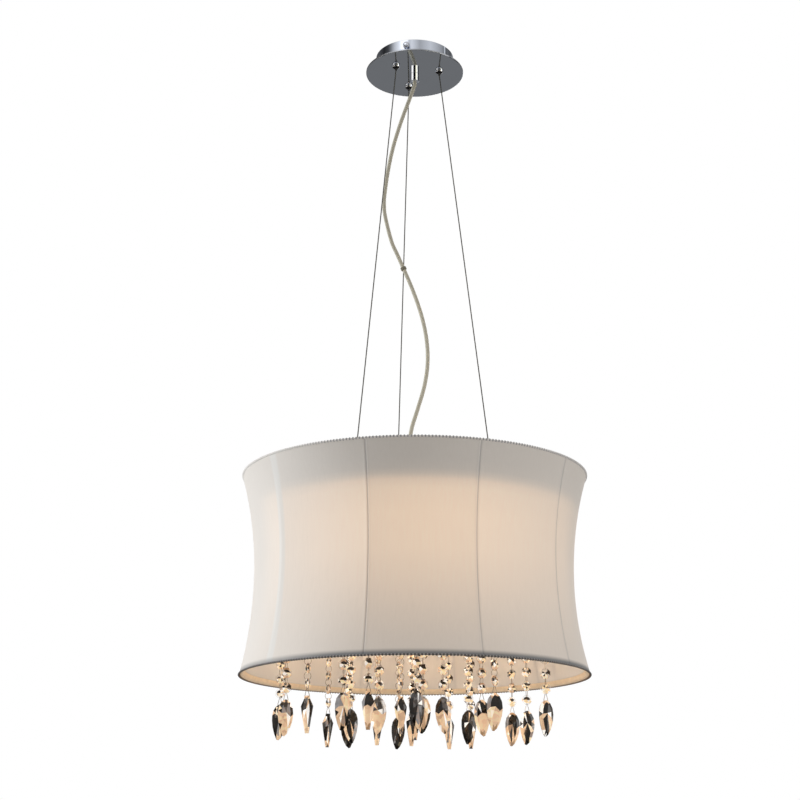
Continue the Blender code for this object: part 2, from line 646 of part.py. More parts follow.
def make_wiring_cup():
    """Wiring housing and stem in one: a nut above the tray, the cup below, the stem to the hub."""
    nut_seat = TRAY_TOP + TOUCH
    inside = WIRING_FLOOR + WIRING_CUP_WALL
    outer, wall = WIRING_CUP_RADIUS, WIRING_CUP_WALL
    outline = [
        (0, STEM_TOP), (STEM_RADIUS, STEM_TOP), (STEM_RADIUS, nut_seat + STEM_NUT_HEIGHT),
        (STEM_NUT_RADIUS, nut_seat + STEM_NUT_HEIGHT), (STEM_NUT_RADIUS, nut_seat),
        (STEM_RADIUS, nut_seat), (STEM_RADIUS, inside), (outer - WIRING_CUP_ROUND, inside),
        (outer - wall, inside + WIRING_CUP_ROUND - wall), (outer - wall, CUP_TOP), (outer, CUP_TOP),
        (outer, WIRING_FLOOR + WIRING_CUP_ROUND), (outer - WIRING_CUP_ROUND, WIRING_FLOOR),
        (STEM_RADIUS, WIRING_FLOOR), (STEM_RADIUS, HUB_TOP + TOUCH), (STUD_RADIUS, HUB_TOP + TOUCH),
        (STUD_RADIUS, HUB_BOTTOM - STUD_IN_FINIAL), (0, HUB_BOTTOM - STUD_IN_FINIAL),
    ]
    cup = piece("wiring_cup", mesh_from(turned(outline, CUP_SIDES), "wiring_cup"), "chrome")
    holes = []
    for number, angle in enumerate(SOCKET_ANGLES, 1):
        low, high = WIRING_FLOOR - CUT_OVERRUN, inside + CUT_OVERRUN
        place = polar(SOCKET_CIRCLE, angle)
        name = f"socket_hole_{number}"
        holes.append(round_cutter(name, SOCKET_NECK_RADIUS + SLIP, low, high, place))
    combine(cup, holes, 'DIFFERENCE')


def make_sockets_and_bulbs():
    """Porcelain sockets under the wiring cup, each with a candle bulb pointing down."""
    nut_seat = WIRING_FLOOR + WIRING_CUP_WALL + TOUCH
    nut_top = nut_seat + SOCKET_NUT_HEIGHT
    bore = BULB_BASE_RADIUS + 2 * SLIP
    bore_top = SOCKET_MOUTH + SOCKET_BORE_DEPTH
    socket_outline = [
        (0, nut_top), (SOCKET_NUT_RADIUS, nut_top), (SOCKET_NUT_RADIUS, nut_seat),
        (SOCKET_NECK_RADIUS, nut_seat), (SOCKET_NECK_RADIUS, SOCKET_TOP), (SOCKET_RADIUS, SOCKET_TOP),
        (SOCKET_RADIUS, SOCKET_MOUTH), (bore, SOCKET_MOUTH), (bore, bore_top), (0, bore_top),
    ]
    base_top = SOCKET_MOUTH + BULB_BASE_LENGTH
    bulb_outline = [(0, base_top), (BULB_BASE_RADIUS, base_top), (BULB_BASE_RADIUS, SOCKET_MOUTH)]
    for wide_share, down_share in BULB_GLASS_SHARES:
        down = SOCKET_MOUTH - BULB_LENGTH * down_share
        bulb_outline.append((BULB_RADIUS * wide_share, down))
    bulb_outline.append((0, SOCKET_MOUTH - BULB_LENGTH))
    socket_mesh = mesh_from(turned(socket_outline, SMALL_SIDES), "lamp_socket")
    bulb_mesh = mesh_from(turned(bulb_outline, SMALL_SIDES), "bulb")
    for number, angle in enumerate(SOCKET_ANGLES, 1):
        place = polar(SOCKET_CIRCLE, angle)
        piece(f"lamp_socket_{number}", socket_mesh, "porcelain", place, angle)
        piece(f"bulb_{number}", bulb_mesh, "bulb_glass", place, angle)


# Crystal frame and finial.
def make_crystal_frame():
    """Hub, three spokes and two wire rings, welded together."""
    hole = STUD_RADIUS + TOUCH
    hub_outline = [(hole, HUB_TOP), (HUB_RADIUS, HUB_TOP), (HUB_RADIUS, HUB_BOTTOM), (hole, HUB_BOTTOM)]
    hub = piece("crystal_frame", mesh_from(turned(hub_outline, SMALL_SIDES), "crystal_frame"), "chrome")
    tools = []
    for name, radius, sides in (
        ("outer_ring", OUTER_RING_RADIUS, OUTER_RING_SIDES),
        ("inner_ring", INNER_RING_RADIUS, INNER_RING_SIDES),
    ):
        bm = swept(ring_points(radius, RING_HEIGHT, sides), RING_WIRE_RADIUS, 4, (0, 0, 1), closed=True)
        tools.append(piece(name, mesh_from(bm, name), "chrome"))
    hub_weld = (HUB_RADIUS + STUD_RADIUS) / 2
    for number, angle in enumerate(SPOKE_ANGLES, 1):
        points = [
            polar(hub_weld, angle, HUB_HEIGHT),
            polar(INNER_RING_RADIUS, angle, RING_HEIGHT),
            polar(on_ring(OUTER_RING_RADIUS, OUTER_RING_SIDES, angle), angle, RING_HEIGHT),
        ]
        bm = swept(points, RING_SPOKE_RADIUS, WIRE_SIDES - 1, polar(1, angle + 90))
        tools.append(piece(f"ring_spoke_{number}", mesh_from(bm, "ring_spoke"), "chrome"))
    combine(hub, tools, 'UNION')


def make_finial():
    """The nut under the hub, with the eye that carries the centre strand."""
    top = HUB_BOTTOM - TOUCH
    low = top - FINIAL_HEIGHT
    stud_end = HUB_BOTTOM - STUD_IN_FINIAL - TOUCH
    bore = STUD_RADIUS + TOUCH
    outline = [
        (0, stud_end), (bore, stud_end), (bore, top), (FINIAL_RADIUS, top),
        (FINIAL_RADIUS, top - FINIAL_HEIGHT / 2), (FINIAL_RADIUS * FINIAL_TIP_SHARE, low), (0, low),
    ]
    nut = piece("finial", mesh_from(turned(outline, TINY_SIDES), "finial"), "chrome")
    chord = EYE_RADIUS * math.cos(math.pi / EYE_SIDES)
    points = []
    for k in range(EYE_SIDES):
        a = 2 * math.pi * (k + 0.5) / EYE_SIDES
        points.append((EYE_RADIUS * math.sin(a), 0, RING_HEIGHT + chord - EYE_RADIUS * math.cos(a)))
    bm = swept(points, RING_WIRE_RADIUS, 4, (0, 1, 0), closed=True)
    combine(nut, [piece("finial_eye", mesh_from(bm, "finial_eye"), "chrome")], 'UNION')


# Crystal strands.
def link_corners(bm, height):
    """Four corners of the link wire: left, front, right and back."""
    around = ((-LINK_RADIUS, 0), (0, -LINK_RADIUS), (LINK_RADIUS, 0), (0, LINK_RADIUS))
    return [bm.verts.new((x, y, height)) for x, y in around]


def crystal(bm, top, bottom, right_side, left_side, belly, depth):
    """A flat crystal with a ridge front and back; its sides run down from the top link."""
    right = [bm.verts.new((x, 0, z)) for x, z in right_side]
    left = [bm.verts.new((x, 0, z)) for x, z in left_side]
    for face, way in ((1, -1), (3, 1)):
        ridge = bm.verts.new((0, way * depth / 2, belly))
        lower = [bottom[2], bottom[face], bottom[0]] if bottom else []
        rim = [top[0], top[face], top[2], *right, *lower, *left[::-1]]
        for a, b in zip(rim, rim[1:] + rim[:1]):
            bm.faces.new((ridge, a, b))


def strand_mesh(kind):
    """One hook, its octagons on wire links, and the drop at the end, as one closed solid."""
    bm = bmesh.new()
    hook_link = link = link_corners(bm, -HOOK_TO_BEAD)
    half = BEAD_SIZE / 2
    short = half * math.tan(math.radians(22.5))
    for number in range(BEAD_COUNT):
        top = -HOOK_TO_BEAD - number * BEAD_PITCH
        bottom = link_corners(bm, top - BEAD_SIZE)
        side = [(half, top - half + short), (half, top - half - short)]
        mirrored = [(-x, z) for x, z in side]
        crystal(bm, link, bottom, side, mirrored, top - half, BEAD_DEPTH)
        last = number == BEAD_COUNT - 1
        link = link_corners(bm, top - BEAD_SIZE - DROP_LINK if last else top - BEAD_PITCH)
        bridge(bm, bottom, link)
    shares, length, width = {
        "leaf": (LEAF_SHARES, LEAF_LENGTH, LEAF_WIDTH),
        "icicle": (ICICLE_SHARES, ICICLE_LENGTH, ICICLE_WIDTH),
    }[kind]
    drop_top = -BEADS_LENGTH - DROP_LINK
    outline = [(x * width / 2, drop_top - z * length) for x, z in shares]
    crystal(bm, link, None, outline[:4], outline[:3:-1], drop_top - DROP_BELLY_SHARE * length, DROP_DEPTH)

    hook = []
    for angle in HOOK_ANGLES:
        a = math.radians(angle)
        hook.append(Vector((0, HOOK_RADIUS * math.cos(a), HOOK_RADIUS * math.sin(a))))
    rings = []
    for k, point in enumerate(hook):
        before = hook[max(k - 1, 0)]
        after = hook[k + 1] if k + 1 < len(hook) else Vector((0, 0, -HOOK_TO_BEAD))
        across = (after - before).normalized().cross(Vector((1, 0, 0)))
        offsets = (Vector((-1, 0, 0)), across, Vector((1, 0, 0)), -across)
        rings.append([bm.verts.new(point + LINK_RADIUS * offset) for offset in offsets])
    rings.append(hook_link)
    for first, second in zip(rings, rings[1:]):
        bridge(bm, first, second)
    bm.faces.new(rings[0])
    return mesh_from(bm, "strand_" + kind)


def make_strands():
    """Strands on both rings and on the finial's eye; each turns about the ring wire in its hook."""
    meshes = {kind: strand_mesh(kind) for kind in ("leaf", "icicle")}
    for name, radius, sides, strands in (
        ("outer", OUTER_RING_RADIUS, OUTER_RING_SIDES, OUTER_STRANDS),
        ("inner", INNER_RING_RADIUS, INNER_RING_SIDES, INNER_STRANDS),
    ):
        for number, (angle, kind) in enumerate(strands, 1):
            place = polar(on_ring(radius, sides, angle), angle, RING_HEIGHT)
            piece(f"{name}_strand_{number:02d}", meshes[kind], "crystal", place, angle)
    piece("centre_strand", meshes["icicle"], "crystal", (0, 0, RING_HEIGHT))


# Shade.
EDGE_RADII = {1: TOP_EDGE_RADIUS - BRAID_THICKNESS - TOUCH, -1: BOTTOM_EDGE_RADIUS - BRAID_THICKNESS - TOUCH}
PANEL_ANGLE = 360 / RIB_COUNT
RIB_INSET = COVER_THICKNESS + TOUCH + EDGE_WIRE_RADIUS
LINING_INSET = RIB_INSET + EDGE_WIRE_RADIUS + TOUCH
ROW_HEIGHTS = [SHADE_BOTTOM + SHADE_HEIGHT * row / HEIGHT_STEPS for row in range(HEIGHT_STEPS + 1)]


def row_radius(height, angle):
    """Hourglass outside of the cover: round at the edges, flatter between ribs at the waist."""
    share = (height - SHADE_MIDDLE) / (SHADE_HEIGHT / 2)
    edge = EDGE_RADII[1 if share > 0 else -1]
    round_radius = WAIST_RADIUS + (edge - WAIST_RADIUS) * share ** 2
    from_middle = math.radians((angle - FIRST_RIB_ANGLE) % PANEL_ANGLE - PANEL_ANGLE / 2)
    flat_radius = round_radius * math.cos(math.radians(PANEL_ANGLE / 2)) / math.cos(from_middle)
    flat_share = WAIST_FLATTENING_SHARE * (1 - share ** 2)
    return round_radius + (flat_radius - round_radius) * flat_share


def shade_radius(height, angle):
    """The cover's faceted outside at any height, straight between its rows."""
    row = min(max(int((height - SHADE_BOTTOM) / SHADE_HEIGHT * HEIGHT_STEPS), 0), HEIGHT_STEPS - 1)
    low, high = ROW_HEIGHTS[row], ROW_HEIGHTS[row + 1]
    share = (height - low) / (high - low)
    return row_radius(low, angle) * (1 - share) + row_radius(high, angle) * share


def shade_ring(height, inset):
    """Corners round the shade at one height, a given depth inside the cover's outside."""
    count = RIB_COUNT * PANEL_STEPS
    angles = [FIRST_RIB_ANGLE + 360 * k / count for k in range(count)]
    return [polar(shade_radius(height, angle) - inset, angle, height) for angle in angles]


def shade_layer(name, heights, outside, thickness, finish_name):
    """One sheet of the shade between two depths, open at the top and the bottom."""
    bm = bmesh.new()
    rings = [[bm.verts.new(p) for p in shade_ring(height, outside)] for height in heights]
    inner = [[bm.verts.new(p) for p in shade_ring(height, outside + thickness)] for height in heights]
    rings += inner[::-1]
    for first, second in zip(rings, rings[1:] + rings[:1]):
        bridge(bm, first, second)
    return piece(name, mesh_from(bm, name), finish_name)


GALLERY_HEIGHT = TRAY_TOP + TOUCH + GALLERY_WIRE_RADIUS
RIB_ANGLES = [FIRST_RIB_ANGLE + PANEL_ANGLE * k for k in range(RIB_COUNT)]


def gallery_spoke(name, angle, wire_radius):
    """A level wire from the gallery ring out to a rib."""
    rib = shade_radius(GALLERY_HEIGHT, angle) - RIB_INSET
    points = [polar(GALLERY_RADIUS, angle, GALLERY_HEIGHT), polar(rib, angle, GALLERY_HEIGHT)]
    bm = swept(points, wire_radius, 4, (0, 0, 1), twist_share=0.5)
    return piece(name, mesh_from(bm, name), "white_wire")


def make_shade_frame():
    """Edge rings and ribs between the cover and the lining, and the ring that sits on the tray."""
    top_wire = SHADE_TOP - EDGE_WIRE_INSET
    low_wire = SHADE_BOTTOM + EDGE_WIRE_INSET
    bm = swept(shade_ring(top_wire, RIB_INSET), EDGE_WIRE_RADIUS, 4, (0, 0, 1), closed=True)
    frame = piece("shade_frame", mesh_from(bm, "shade_frame"), "white_wire")
    bm = swept(shade_ring(low_wire, RIB_INSET), EDGE_WIRE_RADIUS, 4, (0, 0, 1), closed=True)
    tools = [piece("low_edge_wire", mesh_from(bm, "low_edge_wire"), "white_wire")]
    gallery = []
    for k in range(GALLERY_SIDES):
        angle = FIRST_RIB_ANGLE + 360 * k / GALLERY_SIDES
        gallery.append(polar(GALLERY_RADIUS, angle, GALLERY_HEIGHT))
    bm = swept(gallery, GALLERY_WIRE_RADIUS, 4, (0, 0, 1), closed=True)
    tools.append(piece("gallery_ring", mesh_from(bm, "gallery_ring"), "white_wire"))
    rib_heights = [low_wire, *ROW_HEIGHTS[1:-1], top_wire]
    for number, angle in enumerate(RIB_ANGLES, 1):
        points = [polar(shade_radius(z, angle) - RIB_INSET, angle, z) for z in rib_heights]
        bm = swept(points, FRAME_WIRE_RADIUS, 4, polar(1, angle + 90), twist_share=0.5)
        tools.append(piece(f"rib_{number}", mesh_from(bm, "rib"), "white_wire"))
        if number % 2:
            tools.append(gallery_spoke(f"gallery_spoke_{number}", angle, GALLERY_SPOKE_RADIUS))
    combine(frame, tools, 'UNION')


def make_shade_sheets():
    """The cover, the lining with slots for the spokes, and the braid round both edges."""
    shade_layer("shade_fabric", ROW_HEIGHTS, 0, COVER_THICKNESS, "cover")
    heights = [SHADE_BOTTOM + LINING_SHORT, *ROW_HEIGHTS[1:-1], SHADE_TOP - LINING_SHORT]
    lining = shade_layer("shade_liner", heights, LINING_INSET, LINING_THICKNESS, "lining")
    slots = []
    for number, angle in enumerate(RIB_ANGLES[::2], 1):
        slots.append(gallery_spoke(f"spoke_slot_{number}", angle, GALLERY_SPOKE_RADIUS + SPOKE_SLOT_GAP))
    combine(lining, slots, 'DIFFERENCE')
    braid_outside = -BRAID_THICKNESS - TOUCH
    top = [SHADE_TOP - BRAID_HEIGHT, SHADE_TOP]
    shade_layer("top_trim", top, braid_outside, BRAID_THICKNESS, "braid")
    bottom = [SHADE_BOTTOM, SHADE_BOTTOM + BRAID_HEIGHT]
    shade_layer("bottom_trim", bottom, braid_outside, BRAID_THICKNESS, "braid")


make_mounting_bar()
make_canopy()
make_thumbscrews()
make_grippers()
make_wires()
make_anchors()
make_cord_grip()
make_power_cord()
make_cord_clip()
make_tray()
make_wiring_cup()
make_sockets_and_bulbs()
make_crystal_frame()
make_finial()
make_strands()
make_shade_frame()
make_shade_sheets()
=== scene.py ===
# %% [markdown]
# # A drum chandelier, dressed for the camera
# A cloth drum hangs by three steel wires from a polished canopy. Under the drum hang strings of
# cut crystal, and three small bulbs inside make the cloth glow. The CAD model already gives every
# piece its place and its size, so this script only makes the finer shapes and the finishes.
#
# The first lines load that model as a frame that nothing here may move.

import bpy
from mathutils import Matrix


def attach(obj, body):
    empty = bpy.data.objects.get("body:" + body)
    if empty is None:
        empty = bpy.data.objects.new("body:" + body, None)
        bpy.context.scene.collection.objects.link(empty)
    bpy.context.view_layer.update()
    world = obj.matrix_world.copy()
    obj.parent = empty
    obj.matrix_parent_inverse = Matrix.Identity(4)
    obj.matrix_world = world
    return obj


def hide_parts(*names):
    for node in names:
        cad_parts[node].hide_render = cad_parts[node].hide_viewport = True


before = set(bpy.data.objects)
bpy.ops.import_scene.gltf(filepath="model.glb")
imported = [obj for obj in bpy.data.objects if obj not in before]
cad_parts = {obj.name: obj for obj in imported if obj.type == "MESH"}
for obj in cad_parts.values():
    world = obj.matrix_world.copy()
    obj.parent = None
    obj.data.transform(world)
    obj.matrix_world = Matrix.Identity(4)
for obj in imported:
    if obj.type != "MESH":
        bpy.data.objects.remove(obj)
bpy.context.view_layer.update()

# %% Tools of the trade
import random
from math import atan, atan2, cos, degrees, exp, pi, radians, sin

import bmesh
import bpy
from mathutils import Matrix, Vector

MM = 0.001
scene = bpy.context.scene
scene.view_settings.view_transform = 'Standard'

# %% [markdown]
# ## Camera
# The picture was taken from below, with a long lens tilted up. The place and the tilt were worked
# out from the ellipses of the drum's two edges: their height against their width gives the angle,
# and the way they differ gives the distance. A small shift puts the lamp a little right of centre.

# %% Camera
CAMERA_PLACE, CAMERA_TILT = (0.0, -2.038, -1.123), 16.51
LENS, SHIFT = 70.16, -0.0184

camera_data = bpy.data.cameras.new("camera")
camera_data.lens = LENS
camera_data.shift_x = SHIFT
camera = bpy.data.objects.new("camera", camera_data)
camera.location = CAMERA_PLACE
camera.rotation_euler = (radians(90 + CAMERA_TILT), 0, 0)
scene.collection.objects.link(camera)
scene.camera = camera
print("camera: lens", LENS, "mm, tilted up", CAMERA_TILT, "degrees")

# %% [markdown]
# ## Shader sums as Python sums
# A finish is a small tree of nodes. Wiring it by hand is slow to read, so one class wraps a socket
# and lets `a * 0.5 + b` add the Math nodes. Colours and vectors take Vector Math nodes instead,
# because a Math node would turn a colour grey.

# %% Sockets that add and multiply
def sign(operation, reflected=False):
    """A method that adds the node for one of Python's signs."""
    def method(self, *others):
        parts = (self, *others)
        return self.sum_of(operation, *(parts[::-1] if reflected else parts))
    return method


class Socket:
    """One output of a node, which Python's own signs can add to, scale or take away from."""

    def __init__(self, finish, link):
        self.finish = finish
        self.link = link

    def sum_of(self, operation, *parts):
        wide = any(isinstance(p, tuple) or isinstance(p, Socket) and p.link.type != 'VALUE' for p in parts)
        if wide:
            parts = [(p, p, p) if isinstance(p, (int, float)) else p for p in parts]
        return self.finish.node("VectorMath" if wide else "Math", {"operation": operation}, parts)

    __add__ = __radd__ = sign('ADD')
    __mul__ = __rmul__ = sign('MULTIPLY')
    __sub__, __rsub__ = sign('SUBTRACT'), sign('SUBTRACT', reflected=True)
    __pow__ = sign('POWER')
    sine, size, fraction = sign('SINE'), sign('ABSOLUTE'), sign('FRACT')

    def wave(self):
        """A wave between 0 and 1 that repeats with every whole turn."""
        return (self * (2 * pi)).sine() * 0.5 + 0.5


# %% [markdown]
# ## One maker for every finish
# Every finish starts from a Principled shader. What is the same all over the surface, such as how
# metallic it is, is set straight on the shader. What changes over the surface is fed to it by
# nodes, and one method makes any node from its type, its settings and its inputs.

# %% Finishes
def colour(tone):
    """A colour with its alpha; a single number is a grey."""
    return (*tone, 1.0) if isinstance(tone, tuple) else (tone, tone, tone, 1.0)


class Finish:
    """A named material with its Principled shader and the nodes that feed it."""

    def __init__(self, name, **fixed):
        self.material = bpy.data.materials.new(name)
        self.material.use_nodes = True
        self.tree = self.material.node_tree
        self.shader = self.tree.nodes["Principled BSDF"]
        for socket_name, value in fixed.items():
            self.input(socket_name).default_value = value

    def input(self, socket_name):
        return self.shader.inputs[socket_name.replace("_", " ")]

    def node(self, kind, settings, sockets=(), output=0):
        made = self.tree.nodes.new("ShaderNode" + kind)
        for key, value in settings.items():
            if key == "stops":
                stops = made.color_ramp.elements
                while len(stops) < len(value):
                    stops.new(1.0)
                for stop, (place, tone) in zip(stops, value):
                    stop.position = place
                    stop.color = colour(tone)
            else:
                setattr(made, key, value)
        named = sockets.items() if isinstance(sockets, dict) else enumerate(sockets)
        for place, value in named:
            socket = made.inputs[place]
            if isinstance(value, Socket):
                self.tree.links.new(value.link, socket)
            else:
                socket.default_value = colour(value) if socket.type == 'RGBA' else value
        return Socket(self, made.outputs[output])

    def feed(self, **sockets):
        for socket_name, value in sockets.items():
            self.tree.links.new(value.link, self.input(socket_name))

    # The few patterns that most finishes share.
    def place(self, kind="Object"):
        return self.node("TexCoord", {}, output=kind)

    def parts(self, vector, count=3):
        return [self.node("SeparateXYZ", {}, [vector], output=k) for k in range(count)]

    def run(self):
        """Turns round a wire and metres along it, from the map that the mesh makers leave."""
        return self.parts(self.node("UVMap", {"uv_map": "run"}), 2)

    def mark(self, name):
        """The number that a mesh maker left on each face."""
        return self.node("Attribute", {"attribute_name": name}, output=2)

    def mottle(self, scale, detail=2.0, rough=0.5):
        """Cloudy noise; three scales stretch it along the axes."""
        place = self.place()
        if isinstance(scale, tuple):
            place, scale = place * scale, 1.0
        sockets = {"Vector": place, "Scale": scale, "Detail": detail, "Roughness": rough}
        return self.node("TexNoise", {}, sockets)

    def between(self, value, low, high, start=0.0, end=1.0):
        """Blend smoothly from start to end as value goes from low to high."""
        return self.node("MapRange", {"interpolation_type": 'SMOOTHSTEP'}, [value, low, high, start, end])

    def mix(self, share, first, second):
        return self.node("Mix", {"data_type": 'RGBA'}, {0: share, 6: first, 7: second}, output=2)

    def ramp(self, share, stops):
        return self.node("ValToRGB", {"stops": stops}, [share])

    def first_part(self, tone):
        return self.node("SeparateColor", {}, [tone])

    def bump(self, height, strength, depth):
        sockets = {"Strength": strength, "Distance": depth, "Height": height}
        self.feed(Normal=self.node("Bump", {}, sockets))


def drifting(name, scale, dark, light, strength=0.0, depth=0.1, detail=2.0, **fixed):
    """A finish that drifts between two tones, with a bump in millimetres where it has a strength."""
    made = Finish(name, **fixed)
    cloud = made.mottle(scale, detail)
    made.feed(Base_Color=made.mix(cloud, dark, light))
    if strength:
        made.bump(cloud, strength, depth * MM)
    return made


print("finish maker ready")

# %% [markdown]
# ## Mesh makers
# Almost everything on this lamp is either turned on a lathe or drawn as wire. So there are two
# makers: one turns an outline about an upright line, the other sweeps a circle along points. The
# sweep also leaves a map of how far round and how far along each corner lies, so that a finish can
# wind threads or strands round it at the right pitch.

# %% Points and pieces
def polar(radius, angle, height=0.0):
    """A point at an angle in degrees from the front, turning towards +X."""
    turn = radians(angle)
    return Vector((radius * sin(turn), -radius * cos(turn), height))


def new_object(name, bm):
    """An object made from a bmesh, which is used up."""
    bmesh.ops.recalc_face_normals(bm, faces=bm.faces)
    mesh = bpy.data.meshes.new(name)
    bm.to_mesh(mesh)
    bm.free()
    made = bpy.data.objects.new(name, mesh)
    scene.collection.objects.link(made)
    return made


def add_piece(name, bm, finish, node, body="root", sharp=32):
    """Turn a bmesh into a piece that rides on a body and stands for a node of the CAD model."""
    made = new_object(name, bm)
    made.data.shade_smooth()
    made.data.set_sharp_from_angle(angle=radians(sharp))
    for one in finish if isinstance(finish, list) else [finish]:
        made.data.materials.append(one.material)
    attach(made, body)
    if node:
        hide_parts(node)
    return made


# %% The lathe
def neighbours(ring):
    """Each member of a closed ring with the one after it."""
    return list(zip(ring, ring[1:] + ring[:1]))


def bridge(bm, first, second):
    """Faces between two rings of corners; a ring of one corner is a point."""
    count = max(len(first), len(second))
    first, second = (ring * (count // len(ring)) for ring in (first, second))
    for (a, b), (c, d) in zip(neighbours(first), neighbours(second)):
        corners = list(dict.fromkeys((a, b, d, c)))
        if len(corners) > 2:
            bm.faces.new(corners)


def soften(outline, size, steps=2):
    """Round the corners of an outline into short arcs, with a ring beside each to keep flats flat."""
    rounded = [outline[0]]
    for before, corner, after in zip(outline, outline[1:], outline[2:]):
        a, b, c = Vector(before), Vector(corner), Vector(after)
        back, on = (a - b).normalized(), (c - b).normalized()
        room = min((a - b).length, (c - b).length) * 0.48
        reach = min(size, room * 0.8)
        start, end = b + back * reach, b + on * reach
        rounded.append(tuple(b + back * min(reach * 1.5, room)))
        for step in range(steps + 1):
            t = step / steps
            rounded.append(tuple(start * (1 - t) ** 2 + b * 2 * t * (1 - t) + end * t * t))
        rounded.append(tuple(b + on * min(reach * 1.5, room)))
    return rounded + [outline[-1]]


def turned(outline, sides, bm=None, place=(0, 0, 0), closed=False):
    """Turn an outline of (radius, height) in millimetres about an upright line through place."""
    bm = bm or bmesh.new()
    rings = []
    for radius, height in outline:
        count = sides if radius else 1
        rings.append([bm.verts.new(polar(radius * MM, 360 * k / sides, height * MM) + Vector(place))
                      for k in range(count)])
    for first, second in neighbours(rings) if closed else zip(rings, rings[1:]):
        bridge(bm, first, second)
    return bm


# %% The wire bender
def mapped_face(bm, corners, low, high):
    """A face whose run map goes from low at its first corner to high at its third."""
    run = bm.loops.layers.uv["run"]
    face = bm.faces.new(corners)
    for loop, place in zip(face.loops, (low, (high[0], low[1]), high, (low[0], high[1]))):
        loop[run].uv = place
    return face


def swept(points, radius, sides, bm=None, closed=False):
    """Sweep a round wire along points."""
    bm = bm or bmesh.new()
    if "run" not in bm.loops.layers.uv:
        bm.loops.layers.uv.new("run")
    points = [Vector(p) for p in points]
    count, last = len(points), len(points) - 1
    on, back = points[1:] + points[:1], points[-1:] + points[:-1]
    if not closed:
        on[-1], back[0] = points[-1], points[0]
    ways = [(b - a).normalized() for a, b in zip(back, on)]
    side = ways[0].orthogonal().normalized()
    rings, lengths = [], [0.0]
    for k, (point, way) in enumerate(zip(points, ways)):
        side = (side - way * side.dot(way)).normalized()
        up = way.cross(side)
        angles = [2 * pi * s / sides for s in range(sides)]
        rings.append([bm.verts.new(point + radius * (cos(a) * side + sin(a) * up)) for a in angles])
        lengths.append(lengths[-1] + (points[(k + 1) % count] - point).length)
    # A closed wire comes home a little twisted, so its last faces skip to the nearest corners.
    home = [(corner.co - points[0]).normalized().dot(side) for corner in rings[0]]
    for k in range(count if closed else last):
        ring, after = rings[k], rings[(k + 1) % count]
        skip = home.index(max(home)) if k == last else 0
        for s in range(sides):
            t = s + 1
            corners = [ring[s], ring[t % sides], after[(t + skip) % sides], after[(s + skip) % sides]]
            mapped_face(bm, corners, (s / sides, lengths[k]), (t / sides, lengths[k + 1]))
    if not closed:
        bm.faces.new(rings[0])
        bm.faces.new(rings[-1])
    return bm


def smooth_line(points, step):
    """Evenly spaced points along a smooth curve through the given ones."""
    fine = []
    last = len(points) - 1
    for k in range(last):
        a, b, c, d = (Vector(points[min(max(k + s, 0), last)]) for s in (-1, 0, 1, 2))
        for t in (n / 24 for n in range(24)):
            fine.append(b + 0.5 * t * ((c - a) + t * ((2 * a - 5 * b + 4 * c - d)
                                                     + t * (3 * b - a - 3 * c + d))))
    fine.append(Vector(points[-1]))
    length = sum((b - a).length for a, b in zip(fine, fine[1:]))
    count = max(round(length / step), 2)
    even, walked, k = [fine[0]], 0.0, 0
    for n in range(1, count):
        goal = length * n / count
        while walked + (fine[k + 1] - fine[k]).length < goal:
            walked += (fine[k + 1] - fine[k]).length
            k += 1
        even.append(fine[k].lerp(fine[k + 1], (goal - walked) / (fine[k + 1] - fine[k]).length))
    return even + [fine[-1]]


def hoop(radius, height, count):
    return [polar(radius, 360 * k / count, height) for k in range(count)]


# %% Holes and slots
def cut_away(piece, bm):
    """Take the solid in bm out of a piece."""
    cutter = new_object("cutter", bm)
    cut = piece.modifiers.new("cut", 'BOOLEAN')
    cut.object, cut.operation, cut.solver = cutter, 'DIFFERENCE', 'EXACT'
    with bpy.context.temp_override(object=piece, active_object=piece):
        bpy.ops.object.modifier_apply(modifier="cut")
    bpy.data.objects.remove(cutter)
    piece.data.set_sharp_from_angle(angle=radians(32))


print("mesh makers ready")

# %% [markdown]
# ## The flex
# The flex leaves a small fitting in the canopy, swings out in one loose S, is clipped to the back
# wire half way down and ends in the lamp stem. Its soft clear sheath shows the pair of twisted
# cores as faint winding stripes. It is 66 cm long and 5.5 mm thick.

# %% Flex sheath finish
flex_finish = Finish("clear_flex_sheath", Roughness=0.42, IOR=1.5, Coat_Weight=0.12, Coat_Roughness=0.3)
around, along = flex_finish.run()
cores = (around * 2.0 + along * 76.0).wave()
cloudy = flex_finish.mottle(60.0)
tone = flex_finish.mix(cores, (0.53, 0.508, 0.412), (0.562, 0.54, 0.442))
flex_finish.feed(Base_Color=flex_finish.mix(cloudy * 0.15, tone, (0.62, 0.6, 0.52)))
flex_finish.bump(cores * 0.8 + cloudy * 0.2, 0.02, 0.2 * MM)
print("flex finish made")

# %% Flex route
CORD_RADIUS = 2.75 * MM
CORD_TOP, CORD_END = (0.0, 0.0, -0.0373), (0.0, 0.0, -0.6677)
CLIP_POINT = Vector((-16.1, 61.2, -303.5)) * MM
ABOVE_CLIP = [Vector(p) * MM for p in (
    (-6.8, 1.5, -62.5), (-19.7, 7.5, -97.5), (-30.5, 17, -130.7), (-38.2, 28.5, -163),
    (-43.3, 40, -195.2), (-44.3, 45.5, -211.5), (-42.5, 50.5, -228.1), (-33.7, 58, -262.2),
    (-25, 60.5, -282.5))]
BELOW_CLIP = [Vector(p) * MM for p in (
    (-3.4, 60, -335.5), (8.7, 55.8, -373.6), (16.3, 49.4, -412), (18.2, 41.6, -450.3),
    (13.6, 33, -488.3), (3.9, 24, -525.7), (-5.3, 16, -560.9), (-7, 8, -600), (-3, 2, -640))]
straight = Vector((0, 0, 2 * CORD_RADIUS))
below_top, above_end = Vector(CORD_TOP) - straight, Vector(CORD_END) + straight
bend = smooth_line([below_top, *ABOVE_CLIP, CLIP_POINT, *BELOW_CLIP, above_end], 4 * MM)
